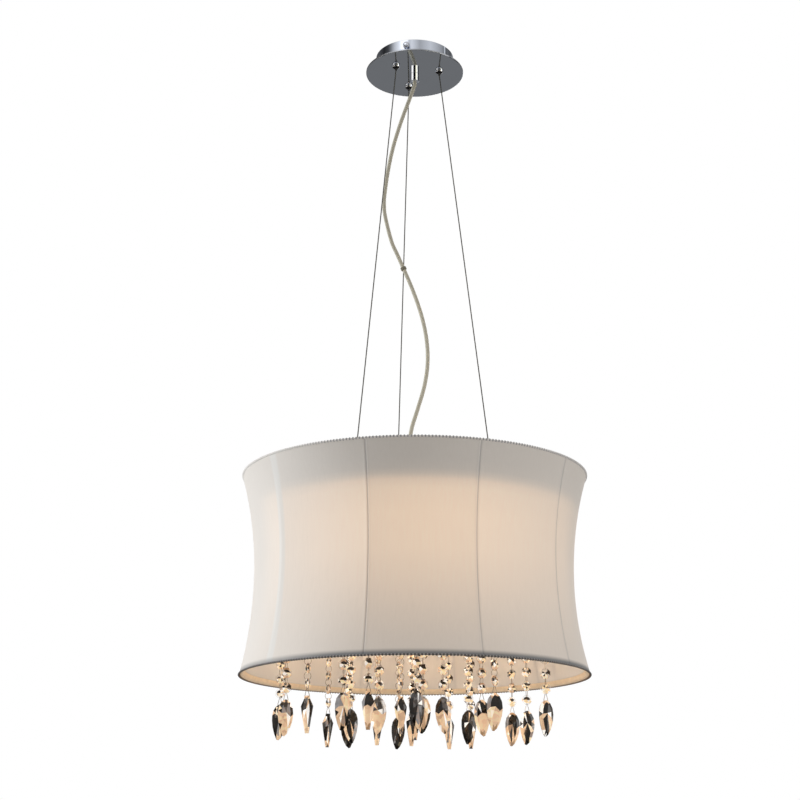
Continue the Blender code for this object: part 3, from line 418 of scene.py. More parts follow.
cord_path = [Vector(CORD_TOP), *bend, Vector(CORD_END)]
flex = add_piece("power_flex", swept(cord_path, CORD_RADIUS, 20), flex_finish, "power_cord")
print("flex:", len(cord_path), "points")

# %% [markdown]
# ## Polished metal
# The canopy, the fittings and the crystal frame are plated steel, polished until they mirror the
# room. Real plating is never perfect: faint wiping marks change the gloss a little from place to
# place, and the sheet is not dead flat. A very small bump and an uneven roughness give both.

# %% Plated finishes
def plated_metal(name, tone, rough, waviness, painted_dark_foot=None):
    """Plating; below the foot height, where one is given, the colour is painted near black: a painted
    reflection of the dark room under the lamp.
    """
    made = Finish(name, Metallic=1.0)
    haze = made.mottle(55.0, 3.0)
    marks = made.mottle(420.0)
    shade = made.mix(haze * 0.5, tone, tuple(c * 0.9 for c in tone))
    if painted_dark_foot:
        above = made.between(made.parts(made.place())[2], painted_dark_foot, painted_dark_foot + 0.8 * MM)
        shade = made.mix(above, (0.04, 0.04, 0.045), shade)
    made.feed(Base_Color=shade,
              Roughness=made.between(haze * 0.7 + marks * 0.3, 0.3, 0.7, rough * 0.7, rough * 1.5))
    made.bump(haze, waviness, 0.3 * MM)
    return made


CHROME = (0.78, 0.83, 0.93)
mirror_plate = plated_metal("mirror_plated_steel", (0.51, 0.54, 0.59), 0.045, 0.03)
bright_chrome = plated_metal("bright_chrome", CHROME, 0.06, 0.05)
dull_zinc = plated_metal("dull_zinc_steel", (0.24, 0.24, 0.25), 0.34, 0.3)
# The gripper domes face down, so their lower part gets a painted dark reflection in its colour.
gripper_chrome_painted_foot = plated_metal("gripper_chrome_painted_foot", CHROME, 0.06, 0.05, painted_dark_foot=-28.4 * MM)
black_zinc = plated_metal("blackened_zinc_steel", (0.09, 0.09, 0.095), 0.3, 0.2)
print("plated finishes made")

# %% [markdown]
# ## Canopy
# A spun cup hides the ceiling box, and a wider polished plate closes it. On the real lamp both are
# pressed from sheet, so every edge has a small round. The outline of each is drawn once in
# millimetres, its corners are softened into arcs, and the lathe turns it.

# %% Canopy cup and plate
CUP_RADIUS, CUP_BOTTOM, CUP_WALL = 56.0, -22.5, 1.2
PLATE_RADIUS, PLATE_TOP, PLATE_UNDERSIDE = 70.5, -22.8, -25.0
CORD_HOLE = 4.3
cup_inside = CUP_RADIUS - CUP_WALL
cup_outline = [(CORD_HOLE, CUP_BOTTOM), (CUP_RADIUS, CUP_BOTTOM), (CUP_RADIUS, 0.0), (cup_inside, 0.0),
               (cup_inside, CUP_BOTTOM + CUP_WALL), (CORD_HOLE, CUP_BOTTOM + CUP_WALL)]
cup = add_piece("canopy_spun_cup", turned(soften(cup_outline, 2.4, 5), 128, closed=True), bright_chrome,
                "canopy_cup")
plate_outline = [(CORD_HOLE, PLATE_UNDERSIDE), (PLATE_RADIUS, PLATE_UNDERSIDE), (PLATE_RADIUS, PLATE_TOP),
                 (CORD_HOLE, PLATE_TOP)]
plate = add_piece("canopy_mirror_plate", turned(soften(plate_outline, 0.6, 4), 160, closed=True),
                  mirror_plate, "canopy_plate")
print("canopy: cup", 2 * CUP_RADIUS, "mm, plate", 2 * PLATE_RADIUS, "mm")

# %% [markdown]
# ## Thumbscrews
# Two small knobs hold the cup to the strip behind it. Their rims are knurled so that fingers grip
# them: every second corner of the rim is pulled in a little, which leaves fine teeth.

# %% Knurled screws
def knurl(bm, low, high, share):
    """Pull in every second corner of the rings between two heights."""
    rings = {}
    for corner in bm.verts:
        if low <= corner.co.z <= high:
            rings.setdefault(round(corner.co.z, 6), []).append(corner)
    for ring in rings.values():
        for corner in ring[1::2]:
            corner.co.xy *= share


SCREW_DROP, SCREW_GAP = 10.5 * MM, 0.3
SCREW_ANGLES = {"front": -11.5, "back": 168.5}
KNURL_LOW, KNURL_HIGH, KNURL_SHARE = 1.2 * MM, 4.9 * MM, 0.92
knob = [
    (0, -9), (1.7, -9), (2, -8.5), (2, 0), (2.9, 0), (2.9, 0.6), (4.7, 1), (4.9, 1.5),
    (4.9, 4.6), (4.7, 5.1), (3.6, 5.5), (3.2, 6.4), (2.7, 7.2), (1.7, 7.5), (0, 7.5),
]
for name, angle in SCREW_ANGLES.items():
    bm = turned(knob, 36)
    knurl(bm, KNURL_LOW, KNURL_HIGH, KNURL_SHARE)
    seat = polar((CUP_RADIUS + SCREW_GAP) * MM, angle, -SCREW_DROP)
    bm.transform(Matrix.Rotation(pi / 2, 4, 'X'))
    bm.transform(Matrix.Translation(seat) @ Matrix.Rotation(radians(angle), 4, 'Z'))
    node = "canopy_thumbscrew_" + name
    add_piece("knurled_screw_" + name, bm, bright_chrome, node, node, 40)
print("thumbscrews made")

# %% [markdown]
# ## Grippers, plungers and wires
# Each wire runs up through a small domed gripper, whose neck passes through a hole in the plate and
# the cup. Pushing the collar at its mouth frees the wire, which is how the height of such a lamp is
# set. The wire is a cable of seven strands laid in a long screw, so its finish winds six ridges
# round it, one turn in nine millimetres.

# %% Gripper heads
GRIPPER_CIRCLE, ANCHOR_CIRCLE = 37.0 * MM, 112.0 * MM
GRIPPER_ANGLES = {"left": -46.5, "right": 73.5, "back": 193.5}
PLUNGER_BOTTOM = -32.3
gripper = [
    (2.4, -29.5), (3.4, -29.4), (4.5, -28.7), (5.2, -27.8), (5.75, -26.7), (6, -26), (6, -25.05),
    (3.5, -25.05), (3.5, -21), (5.5, -21), (5.5, -18), (1.1, -18), (1.1, -20.5), (2.4, -20.5),
]
collar = [(1.1, PLUNGER_BOTTOM), (1.5, PLUNGER_BOTTOM), (1.9, -31.8), (1.9, -30.4), (1.9, -23),
          (1.1, -23)]
neck_hole = [(0, -30), (3.8, -30), (3.8, -15), (0, -15)]
for side, angle in GRIPPER_ANGLES.items():
    place = polar(GRIPPER_CIRCLE, angle)
    for sheet in (cup, plate):
        cut_away(sheet, turned(neck_hole, 32, place=place))
    head = turned(soften(gripper, 0.2), 40, place=place, closed=True)
    add_piece("gripper_head_" + side, head, gripper_chrome_painted_foot, "wire_gripper_" + side)
    bm = turned(collar, 28, place=place, closed=True)
    node = "gripper_plunger_" + side
    add_piece("release_collar_" + side, bm, black_zinc, node, node)
print("grippers made")

# %% Cable finish and the three wires
cable_finish = Finish("laid_steel_cable", Metallic=1.0)
around, along = cable_finish.run()
lay = (around * 6.0 + along * 667.0).wave()
grime = cable_finish.mottle(90.0)
cable_finish.feed(Base_Color=cable_finish.mix(lay, (0.07, 0.07, 0.062), (0.27, 0.266, 0.245)),
                  Roughness=cable_finish.between(grime, 0.3, 0.7, 0.28, 0.46))
cable_finish.bump(lay, 0.9, 0.12 * MM)

WIRE_RADIUS = 0.8 * MM
TRAY_TOP = -0.68
POST_TOP = TRAY_TOP + 12.0 * MM
IN_GRIPPER, IN_POST, FREE = -16.5 * MM, POST_TOP - 9.7 * MM, 0.3 * MM
for side, angle in GRIPPER_ANGLES.items():
    high = polar(GRIPPER_CIRCLE, angle, PLUNGER_BOTTOM * MM - FREE)
    low = polar(ANCHOR_CIRCLE, angle, POST_TOP + FREE)
    points = [polar(GRIPPER_CIRCLE, angle, IN_GRIPPER), *(high.lerp(low, k / 40) for k in range(41)),
              polar(ANCHOR_CIRCLE, angle, IN_POST)]
    bm = swept(points, WIRE_RADIUS, 12)
    add_piece("cable_" + side, bm, cable_finish, "suspension_wire_" + side)
print("wires made")

# %% Posts on the tray
post = [
    (0, -9.7), (1.1, -9.7), (1.1, 0), (2.9, 0), (3.5, -0.7), (3.5, -2.4), (3.1, -2.7), (3.1, -3.3),
    (3.5, -3.6), (3.5, -11.4), (4.6, -11.7), (2.5, -11.7), (2.5, -13.8), (5, -13.8), (5, -16.6),
    (0, -16.6),
]
for side, angle in GRIPPER_ANGLES.items():
    bm = turned(post, 32, place=polar(ANCHOR_CIRCLE, angle, POST_TOP))
    add_piece("wire_post_" + side, bm, bright_chrome, "wire_anchor_" + side)
print("posts made")

# %% [markdown]
# ## Cord grip and clip
# The flex leaves the plate through a turned ferrule, and a small nylon clip ties it to the back
# wire. The clip is two short sleeves, one for each, that share a wall.

# %% Cord grip
ferrule = [
    (0, -18), (6.5, -18), (6.5, -21), (4, -21), (4, -25.05), (6, -25.05), (6, -36.8),
    (5.8, -37), (3.3, -37), (2.9, -36.4), (0, -36.4),
]
add_piece("cord_ferrule", turned(soften(ferrule, 0.12), 48), bright_chrome, "cord_grip")

# %% Nylon clip
nylon = drifting("smoky_nylon", 900.0, (0.15, 0.142, 0.105), (0.27, 0.255, 0.195), 0.2, 0.05, Roughness=0.42)


def sleeve(bm, centre, way, bore, outer, height=4.0):
    """A short sleeve round a line that runs through centre; its sizes are in millimetres."""
    half, first = height / 2, len(bm.verts)
    turned(soften([(bore, -half), (outer, -half), (outer, half), (bore, half)], 0.3), 36, bm, closed=True)
    bm.verts.ensure_lookup_table()
    matrix = Matrix.Translation(centre) @ way.to_track_quat('Z', 'Y').to_matrix().to_4x4()
    bmesh.ops.transform(bm, matrix=matrix, verts=bm.verts[first:])


CORD_SLEEVE, WIRE_SLEEVE, SHARED_WALL = 4.2, 2.15, 0.7
wire_centre = CLIP_POINT + Vector((0, CORD_SLEEVE + WIRE_SLEEVE - SHARED_WALL, 0)) * MM
lean = atan((ANCHOR_CIRCLE - GRIPPER_CIRCLE) / (PLUNGER_BOTTOM * MM - POST_TOP))
bm = bmesh.new()
sleeve(bm, CLIP_POINT, BELOW_CLIP[0] - ABOVE_CLIP[-1], 3.15, CORD_SLEEVE)
sleeve(bm, wire_centre, polar(sin(lean), GRIPPER_ANGLES["back"], -cos(lean)), 1.1, WIRE_SLEEVE)
add_piece("nylon_clip", bm, nylon, "cord_clip")
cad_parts["mounting_bar"].data.materials.clear()
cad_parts["mounting_bar"].data.materials.append(dull_zinc.material)
print("cord grip, clip and ceiling strip made")

# %% [markdown]
# ## Tray, wiring cup and lamps
# A mirror tray closes the drum near its top, which is why the cloth is dark above it and bright
# below. A low cup under the tray holds the joints, and three porcelain sockets hang from the cup.

# %% Mirror tray
tray_outline = [
    (0, -680), (184.6, -680), (186, -681.4), (186, -689.6), (185.6, -690), (184.9, -690),
    (184.5, -689.6), (184.5, -682.2), (183.8, -681.5), (0, -681.5),
]
add_piece("polished_tray", turned(tray_outline, 180), mirror_plate, "mirror_tray")

# %% Wiring cup with its stem
CUP_TOP, CUP_FLOOR = -681.8, -701.8
wiring = [
    (0, -668), (4.6, -668), (5, -668.4), (5, -675.7), (9.4, -675.7), (10, -676.3), (10, -679.7),
    (5, -679.7), (5, CUP_FLOOR + 1), (76.5, CUP_FLOOR + 1), (79, CUP_FLOOR + 3.6), (79, CUP_TOP),
    (80, CUP_TOP), (80, CUP_FLOOR + 4), (79, CUP_FLOOR + 1.6), (76.8, CUP_FLOOR), (5, CUP_FLOOR),
    (5, -810.1), (3, -810.1), (3, -815.9), (0, -815.9),
]
add_piece("wiring_housing", turned(wiring, 96), bright_chrome, "wiring_cup")

# %% Porcelain sockets
porcelain = drifting("glazed_porcelain", 260.0, (0.84, 0.82, 0.76), (0.93, 0.92, 0.89), 0.12, detail=3.0,
                     Roughness=0.22, Coat_Weight=0.5, Coat_Roughness=0.08)
SOCKET_TOP, SOCKET_MOUTH, SOCKET_CIRCLE = -702.1, -736.1, 58.0 * MM
LAMP_ANGLES = [22, 142, 262]
socket = [
    (0, -697.5), (8, -697.5), (8, -700.5), (5, -700.5), (5, SOCKET_TOP), (11.2, SOCKET_TOP),
    (12, SOCKET_TOP - 0.8), (12, -712), (11.2, -712.8), (11.2, -714.4), (12, -715.2), (12, -735.3),
    (11.2, SOCKET_MOUTH), (7.9, SOCKET_MOUTH), (7.6, -735.7), (7.6, -710.1), (0, -710.1),
]
for number, angle in enumerate(LAMP_ANGLES, 1):
    bm = turned(socket, 48, place=polar(SOCKET_CIRCLE, angle))
    add_piece(f"porcelain_socket_{number}", bm, porcelain, f"lamp_socket_{number}")
print("tray, wiring cup and sockets made")

# %% [markdown]
# ## Bulbs
# The bulbs are frosted and lit, so the glass itself gives the light: warm white, a little less at
# the neck where the holder shades it. Their light does the real work inside the drum.

# %% Lit bulbs
lit_glass = Finish("lit_frosted_glass", Roughness=0.35, Emission_Strength=16.0)
warmth = lit_glass.between(lit_glass.parts(lit_glass.place())[2], -0.741, -0.752)
speck = lit_glass.mottle(120.0)
lit_glass.feed(Emission_Color=lit_glass.mix(warmth, (0.55, 0.3, 0.13), (1.0, 0.74, 0.48)),
               Base_Color=lit_glass.mix(speck, (0.9, 0.86, 0.8), (0.96, 0.93, 0.88)))
THREADS, THREAD_PITCH = 12, 1.6
bulb = [(0, 23), (4, 23), (4.4, 21.5)]
for k in range(THREADS):
    bulb += [(6.8, 20.4 - k * THREAD_PITCH), (6.3, 19.6 - k * THREAD_PITCH)]
bulb += [(6.8, 0.5), (7.4, 0), (8.6, -2.2), (11.6, -6.8), (14.6, -11.6), (16.6, -17), (17.5, -23.5),
         (17.2, -29.5), (15.6, -36), (12.4, -42), (8.2, -46.8), (4.2, -49.3), (0, -50)]
for number, angle in enumerate(LAMP_ANGLES, 1):
    bm = turned(bulb, 40, place=polar(SOCKET_CIRCLE, angle, SOCKET_MOUTH * MM))
    for face in bm.faces:
        face.material_index = int(face.calc_center_median().z > (SOCKET_MOUTH - 0.1) * MM)
    node = f"bulb_{number}"
    add_piece("warm_" + node, bm, [lit_glass, bright_chrome], node, node, 50)
print("bulbs made")

# %% [markdown]
# ## Crystal frame
# The strings of crystal hang from two wire rings on three spokes, screwed to the end of the stem.
# The rings are bent from bright wire and the spokes are welded across them. A turned finial below
# the hub carries a small eye for the middle string.

# %% Rings, spokes and hub
RING_HEIGHT = -826.4 * MM
OUTER_RING, INNER_RING = 173.7 * MM, 104.6 * MM
RING_WIRE, SPOKE_WIRE = 1.5 * MM, 1.35 * MM
SPOKE_ANGLES = (-38, 82, 202)
HUB_TOP, HUB_BOTTOM = -810.4, -812.4
SPOKE_START, KNEE_SHARE, KNEE_RISE = 8.5 * MM, 0.93, 1.6 * MM

bm = swept(hoop(OUTER_RING, RING_HEIGHT, 144), RING_WIRE, 10, closed=True)
swept(hoop(INNER_RING, RING_HEIGHT, 96), RING_WIRE, 10, bm, closed=True)
for angle in SPOKE_ANGLES:
    knees = [polar(SPOKE_START, angle, (HUB_TOP + HUB_BOTTOM) / 2 * MM),
             polar(INNER_RING * KNEE_SHARE, angle, RING_HEIGHT + KNEE_RISE),
             polar(INNER_RING, angle, RING_HEIGHT), polar(OUTER_RING, angle, RING_HEIGHT)]
    swept(smooth_line(knees, 5 * MM), SPOKE_WIRE, 10, bm)
hub = [(3.3, HUB_TOP), (13.2, HUB_TOP), (14, HUB_TOP - 0.6), (14, HUB_BOTTOM + 0.6), (13.2, HUB_BOTTOM),
       (3.3, HUB_BOTTOM)]
turned(hub, 48, bm, closed=True)
add_piece("ring_frame", bm, bright_chrome, "crystal_frame")

# %% Finial with its eye
EYE_RADIUS, EYE_WIRE, EYE_HEIGHT = 4.0 * MM, 1.1 * MM, -822.7 * MM
finial = [(0, -812.7), (7.4, -812.7), (8, -813.3), (8, -814.6), (7.2, -815.4), (7.6, -816.1),
          (6.4, -817.8), (4.2, -819.3), (3.2, -819.9), (0, -819.9)]
bm = turned(finial, 40)
eye = [Vector((EYE_RADIUS * sin(a), 0, EYE_HEIGHT + EYE_RADIUS * cos(a)))
       for a in (2 * pi * k / 28 for k in range(28))]
swept(eye, EYE_WIRE, 10, bm, closed=True)
add_piece("turned_finial", bm, bright_chrome, "finial")
print("crystal frame made")

# %% [markdown]
# ## Cut crystal
# A cut stone sends the dark of the ceiling and the warm light of the bulbs to different facets, so
# beside each other they look nearly black, smoky, peach, white or clear. True refraction needs far
# more light paths than a plain render has. So each facet gets a number when it is cut, and the
# finish turns that number into a painted reflection: a tint, a painted glow and a clearness. A faint
# cell pattern breaks the larger facets up, as the facets of the far side do in a real stone.

# %% Tones of the facets
# k is black, b brown, s smoke, v silver, a amber, p peach, c cream, w white and o clear (open).
TONES = {"k": 0.03, "b": 0.16, "s": 0.27, "v": 0.38, "a": 0.49, "p": 0.6, "c": 0.72, "w": 0.84, "o": 0.98}
# Painted light: each facet's tint and glow stand for the reflection or bulb light that it would show.
PAINTED_FACET_TINTS = {"k": (0.006, 0.005, 0.004), "b": (0.04, 0.022, 0.012), "s": (0.105, 0.1, 0.098),
         "v": (0.38, 0.38, 0.4), "a": (0.48, 0.29, 0.16), "p": (0.78, 0.57, 0.4),
         "c": (0.83, 0.69, 0.5), "w": (0.93, 0.93, 0.92), "o": (0.9, 0.88, 0.86)}
PAINTED_FACET_GLOWS = {"s": 0.0, "v": (0.06, 0.06, 0.065), "a": (0.09, 0.052, 0.026), "p": (0.33, 0.215, 0.13),
         "c": (0.42, 0.315, 0.16), "w": (0.62, 0.62, 0.61), "o": (0.06, 0.05, 0.04)}


def cut_crystal(name, clearness, cell_scale):
    made = Finish(name, Roughness=0.03, IOR=1.52, Coat_Weight=0.3, Coat_Roughness=0.02, Emission_Strength=1.0)
    cells = made.node("TexVoronoi", {}, {"Vector": made.place(), "Scale": cell_scale}, output=1)
    share = made.mark("cut") + (made.first_part(cells) - 0.5) * 0.11
    tint, glow = (made.ramp(share, [(TONES[k], tone) for k, tone in row.items()]) for row in (PAINTED_FACET_TINTS, PAINTED_FACET_GLOWS))
    made.feed(Base_Color=tint, Alpha=made.between(share, 0.89, 0.94, 1.0, clearness), Emission_Color=glow)
    return made


bead_glass = cut_crystal("cut_crystal_beads", 0.1, 300.0)
drop_glass = cut_crystal("cut_crystal_drops", 0.35, 190.0)

link_wire = Finish("nickel_link_wire", Metallic=1.0)
dulled = link_wire.mottle(700.0)
link_wire.feed(Base_Color=link_wire.mix(dulled, (0.34, 0.27, 0.22), (0.55, 0.47, 0.4)),
               Roughness=link_wire.between(dulled, 0.3, 0.7, 0.16, 0.34))
print("crystal finishes made")

# %% Looks of the stones
# Each look lists the painted reflection tones of the table and then of the bevels round it, both
# clockwise: top, upper right, lower right, bottom, lower left, upper left.
DROP_LOOKS = {
    "night": "kkkkbk bkbkkk", "long": "kkkkkk bkvkpw", "foot": "kkkpak akpapv", "half": "kkpppk pkpacv",
    "slant": "kkpkkk pbpkpw", "honey": "sspppk sopppb", "blond": "pcpapv vpkkpv", "smoke": "sssvks kvbpkk",
    "frost": "svwppv sbpppk", "ice": "swwpvs akbppk", "jet": "kkkpbv kkbpks",
}
BEAD_LOOKS = ("kkocck oocooo", "kkcowo aocpoo", "kkcpww boopoo", "okocwk obocoo", "koccoc ooocoo")
STRAY_FACETS, STRAY_TONES = 0.13, "kspcw"


def side_of(x, z):
    """Which sixth of a stone a facet lies in, from its place about the middle."""
    angle = degrees(atan2(x, z)) % 360
    return sum(angle > edge for edge in (28, 96, 156, 204, 264, 332)) % 6


# %% Cutting a stone
TABLE, BEVEL = 0, 1
TABLE_EDGE_SHARE = 0.36


def cut_stone(bm, look, outline, belly, depth, girdle, table, chance, turn, lean):
    """A flat stone: its outline is the girdle, bevels lead in to the table, which rises to the belly."""
    cut = bm.faces.layers.float.get("cut") or bm.faces.layers.float.new("cut")
    top, bottom = outline[0][1], min(z for _, z in outline)
    half_width = max(x for x, _ in outline)
    middle = Vector((0, 0, belly))
    made = []

    def facet(zone, *corners):
        face = bm.faces.new(corners)
        place = sum((corner.co for corner in corners), Vector()) / len(corners) - middle
        reach = top - belly if place.z > 0 else belly - bottom
        tone = look.split()[zone][side_of(place.x / half_width, place.z / reach)]
        face[cut] = TONES[chance.choice(STRAY_TONES) if chance.random() < STRAY_FACETS else tone]
        made.append(face)

    girdles = []
    for way in (-1, 1):
        ring = [bm.verts.new((x, way * girdle / 2, z)) for x, z in outline]
        girdles.append(ring)
        inner = []
        for a, b in neighbours(ring):
            corner = (a.co + b.co) / 2 - middle
            rise = way * depth * TABLE_EDGE_SHARE
            inner.append(bm.verts.new((corner.x * table[0], rise, belly + corner.z * table[1])))
        tip = bm.verts.new((0, way * depth / 2, belly))
        for (a, b), (c, d) in zip(neighbours(ring), neighbours(inner)):
            facet(BEVEL, a, b, c)
            facet(BEVEL, c, b, d)
            facet(TABLE, c, d, tip)
    # The girdle round the edge gets a painted amber or brown reflection.
    for (a, b), (c, d) in zip(*map(neighbours, girdles)):
        edge = bm.faces.new((a, b, d, c))
        edge[cut] = TONES["a" if look in BEAD_LOOKS else "b"]
        made.append(edge)
    bmesh.ops.recalc_face_normals(bm, faces=made)
    for face in made:
        face.smooth = False
    corners = list({corner for face in made for corner in face.verts})
    matrix = Matrix.Rotation(turn, 3, 'Z') @ Matrix.Rotation(lean, 3, 'X')
    bmesh.ops.rotate(bm, verts=corners, cent=Vector((0, 0, top)), matrix=matrix)


print("stone cutter ready")

# %% [markdown]
# ## Strings of crystal
# Each string is five octagons and one long drop, joined by round wire rings. A ring threads the
# holes of both stones, so it always stands square to them: where the stones face the room the
# rings are seen edge on, and where the stones are turned away the rings show as thin circles.
# Leaves are the broad drops and icicles the narrow ones. Every string gets its own seed, so that
# no two look the same but each stays the same from one run to the next.

# %% Outlines of the stones
BEADS, BEAD_SIZE, BEAD_DEPTH, BEAD_PITCH, HOOK_TO_BEAD = 5, 12.6 * MM, 6.4 * MM, 18.5 * MM, 7.2 * MM
DROP_TOP, DROP_LENGTH, DROP_DEPTH = -102.0 * MM, 45.0 * MM, 8.0 * MM
HOLE_INSET, LINK_WIRE = 1.7 * MM, 0.36 * MM
HOOK_RADIUS, HOOK_WIRE = 2.7 * MM, 0.55 * MM
BEAD_GIRDLE, DROP_GIRDLE = 1.0 * MM, 0.9 * MM
BEAD_TABLE_SHARES, DROP_TABLE_SHARES = (0.7, 0.66), (0.6, 0.84)
BELLY_SHARE, FACING_SHARE = 0.36, 0.62
DROPS = {
    "leaf": (19.6 * MM, ((0.15, 0), (0.52, 0.06), (0.84, 0.16), (0.99, 0.3), (1, 0.46), (0.9, 0.64),
                         (0.68, 0.82), (0.37, 0.985), (0.13, 1), (-0.22, 0.93), (-0.6, 0.78), (-0.88, 0.59),
                         (-1, 0.4), (-0.92, 0.23), (-0.6, 0.08), (-0.15, 0))),
    "icicle": (15.4 * MM, ((0.4, 0), (0.46, 0.08), (1, 0.28), (0.72, 0.56), (0.44, 0.84), (0.3, 1),
                           (-0.3, 1), (-0.5, 0.8), (-0.8, 0.52), (-1, 0.28), (-0.46, 0.08),
                           (-0.4, 0))),
}
corner_radius = BEAD_SIZE / 2 / cos(pi / 8)
octagon = [(corner_radius * sin(a), corner_radius * cos(a)) for a in (pi * (2 * k + 1) / 8 for k in range(8))]
print("stones drawn")


# %% Links
def link(bm, shape, turn):
    """A closed wire from (across, height) points, in the upright plane that faces turn."""
    across = Vector((cos(turn), sin(turn), 0))
    swept([across * x + Vector((0, 0, z)) for x, z in shape], LINK_WIRE, 6, bm, closed=True)


def wire_ring(bm, top, bottom, turn):
    """A round ring between two holes, square to stones that are turned by turn."""
    middle, radius = (top + bottom) / 2, (top - bottom) / 2
    shape = [(radius * 0.95 * sin(a), middle + radius * cos(a)) for a in (2 * pi * k / 18 for k in range(18))]
    link(bm, shape, turn + pi / 2)


def wire_bail(bm, top, bottom, turn):
    """A three-cornered clip that spreads from the last bead to the shoulders of the drop."""
    shape = ((0, 1), (0.55, 0.92), (1.6, 0.55), (2.9, 0.14), (2.5, 0), (1, -0.03),
             (-1, -0.03), (-2.5, 0), (-2.9, 0.14), (-1.6, 0.55), (-0.55, 0.92))
    link(bm, [(x * MM, bottom + (top - bottom) * rise) for x, rise in shape], turn)


# %% One string
def paint_from(bm, first, number):
    """Give the faces made since the first one a finish by its number."""
    bm.faces.ensure_lookup_table()
    for face in bm.faces[first:]:
        face.material_index = number
    return len(bm.faces)


def crystal_string(kind, look, angle, seed):
    """Hook, stones and links of one string, from the ring wire down."""
    chance = random.Random(seed)
    bm = bmesh.new()
    forward = -radians(angle)
    if chance.random() < FACING_SHARE:
        turn = forward + chance.uniform(-0.4, 0.4)
    else:
        turn = forward + chance.choice((-1, 1)) * chance.uniform(0.9, 1.4)
    turns = [turn + chance.uniform(-0.16, 0.16) for _ in range(BEADS)]
    tops = [-HOOK_TO_BEAD - number * BEAD_PITCH for number in range(BEADS)]
    for top, turn in zip(tops, turns):
        middle = top - BEAD_SIZE / 2
        cut_stone(bm, chance.choice(BEAD_LOOKS), [(x, middle + z) for x, z in octagon], middle, BEAD_DEPTH,
                  BEAD_GIRDLE, BEAD_TABLE_SHARES, chance, turn, chance.uniform(-0.06, 0.06))
    width, shares = DROPS[kind]
    outline = [(x * width / 2, DROP_TOP - z * DROP_LENGTH) for x, z in shares]
    if chance.random() < 0.5:
        outline = [(-x, z) for x, z in outline[::-1]]
    beads_end = len(bm.faces)
    drop_turn = forward + chance.uniform(-0.4, 0.4)
    cut_stone(bm, DROP_LOOKS[look], outline, DROP_TOP - BELLY_SHARE * DROP_LENGTH, DROP_DEPTH,
              DROP_GIRDLE, DROP_TABLE_SHARES, chance, drop_turn, chance.uniform(-0.05, 0.05))
    drop_end = paint_from(bm, beads_end, 1)
    hook = [Vector((0, HOOK_RADIUS * cos(a), HOOK_RADIUS * sin(a)))
            for a in (radians(195 - 235 * k / 13) for k in range(14))]
    shank = [Vector((0, 0.9 * MM, -4.6 * MM)), Vector((0, 0, -HOOK_TO_BEAD - HOLE_INSET))]
    swept([*hook, *shank], HOOK_WIRE, 8, bm)
    lower_holes = [top - BEAD_SIZE + HOLE_INSET for top in tops]
    for hole, top, one, other in zip(lower_holes, tops[1:], turns, turns[1:]):
        wire_ring(bm, hole, top - HOLE_INSET, (one + other) / 2)
    wire_bail(bm, lower_holes[-1], DROP_TOP - HOLE_INSET, drop_turn)
    paint_from(bm, drop_end, 2)
    return bm


# %% All strings, by ring: angle, kind of drop and its look
STRINGS = {
    ("outer", OUTER_RING): (
        (-90, "leaf", "smoke"), (-67.8, "leaf", "frost"), (-49, "icicle", "ice"), (-29.5, "leaf", "blond"),
        (-18.5, "icicle", "half"), (0.8, "leaf", "smoke"), (33.5, "leaf", "half"), (71.2, "leaf", "slant"),
        (119.8, "leaf", "long"), (130.3, "leaf", "foot"), (153.5, "icicle", "frost"), (164.2, "icicle", "ice"),
        (187.5, "leaf", "night"), (212, "leaf", "night"), (223, "icicle", "jet")),
    ("inner", INNER_RING): (
        (-25, "leaf", "honey"), (-9.5, "icicle", "half"), (5.5, "leaf", "blond"), (19.5, "leaf", "honey"),
        (53.2, "leaf", "half"), (136.5, "leaf", "night"), (182.2, "icicle", "frost"), (208.5, "icicle", "jet"),
        (234.5, "leaf", "long")),
}
strings = [(f"{ring}_strand_{k:02d}", radius, *row)
           for (ring, radius), rows in STRINGS.items() for k, row in enumerate(rows, 1)]
strings.append(("centre_strand", 0.0, 0.0, "icicle", "jet"))
for seed, (node, radius, angle, kind, look) in enumerate(strings, 40):
    bm = crystal_string(kind, look, angle, seed)
    hung = Matrix.Translation(polar(radius, angle, RING_HEIGHT))
    bm.transform(hung @ Matrix.Rotation(radians(angle), 4, 'Z'))
    name = node.replace("strand", "crystals")
    add_piece(name, bm, [bead_glass, drop_glass, link_wire], node, node, 1)
print(len(strings), "strings of crystal made")

# %% [markdown]
# ## The form of the drum
# The cloth is pulled over two wire hoops and ten upright wires, which bow inwards like an
# hourglass. One function gives the radius of the cover at any height and angle, so the cover, the
# lining, the frame and the braid all follow the same form and stay beside each other.

# %% Radius of the cover
SHADE_TOP, SHADE_BOTTOM = -0.63, -0.894
SHADE_MIDDLE = (SHADE_TOP + SHADE_BOTTOM) / 2
TOP_EDGE, BOTTOM_EDGE, WAIST = 229.5 * MM, 227.0 * MM, 211.0 * MM
RIBS, FIRST_RIB = 10, -51.3
PANEL = 360 / RIBS
WAIST_FLATNESS = 0.35


def cover_radius(height, angle):
    """Hourglass outline, a little flatter between the upright wires near the waist."""
    share = (height - SHADE_MIDDLE) / (SHADE_TOP - SHADE_MIDDLE)
    edge = TOP_EDGE if share > 0 else BOTTOM_EDGE
    full = WAIST + (edge - WAIST) * share ** 2
    from_middle = radians((angle - FIRST_RIB) % PANEL - PANEL / 2)
    flat = full * cos(radians(PANEL / 2)) / cos(from_middle)
    return full + (flat - full) * WAIST_FLATNESS * (1 - min(share ** 2, 1))


# %% Bands round the drum, with columns that crowd together at the seams
SEAM_SIDE = (0, 0.1, 0.22, 0.4, 0.7, 1.2, 2, 3.4, 5.4, 8, 11, 14.4)
seam_columns = [*SEAM_SIDE, PANEL / 2, *(PANEL - a for a in SEAM_SIDE[:0:-1])]
cover_angles = [FIRST_RIB + PANEL * k + a for k in range(RIBS) for a in seam_columns]


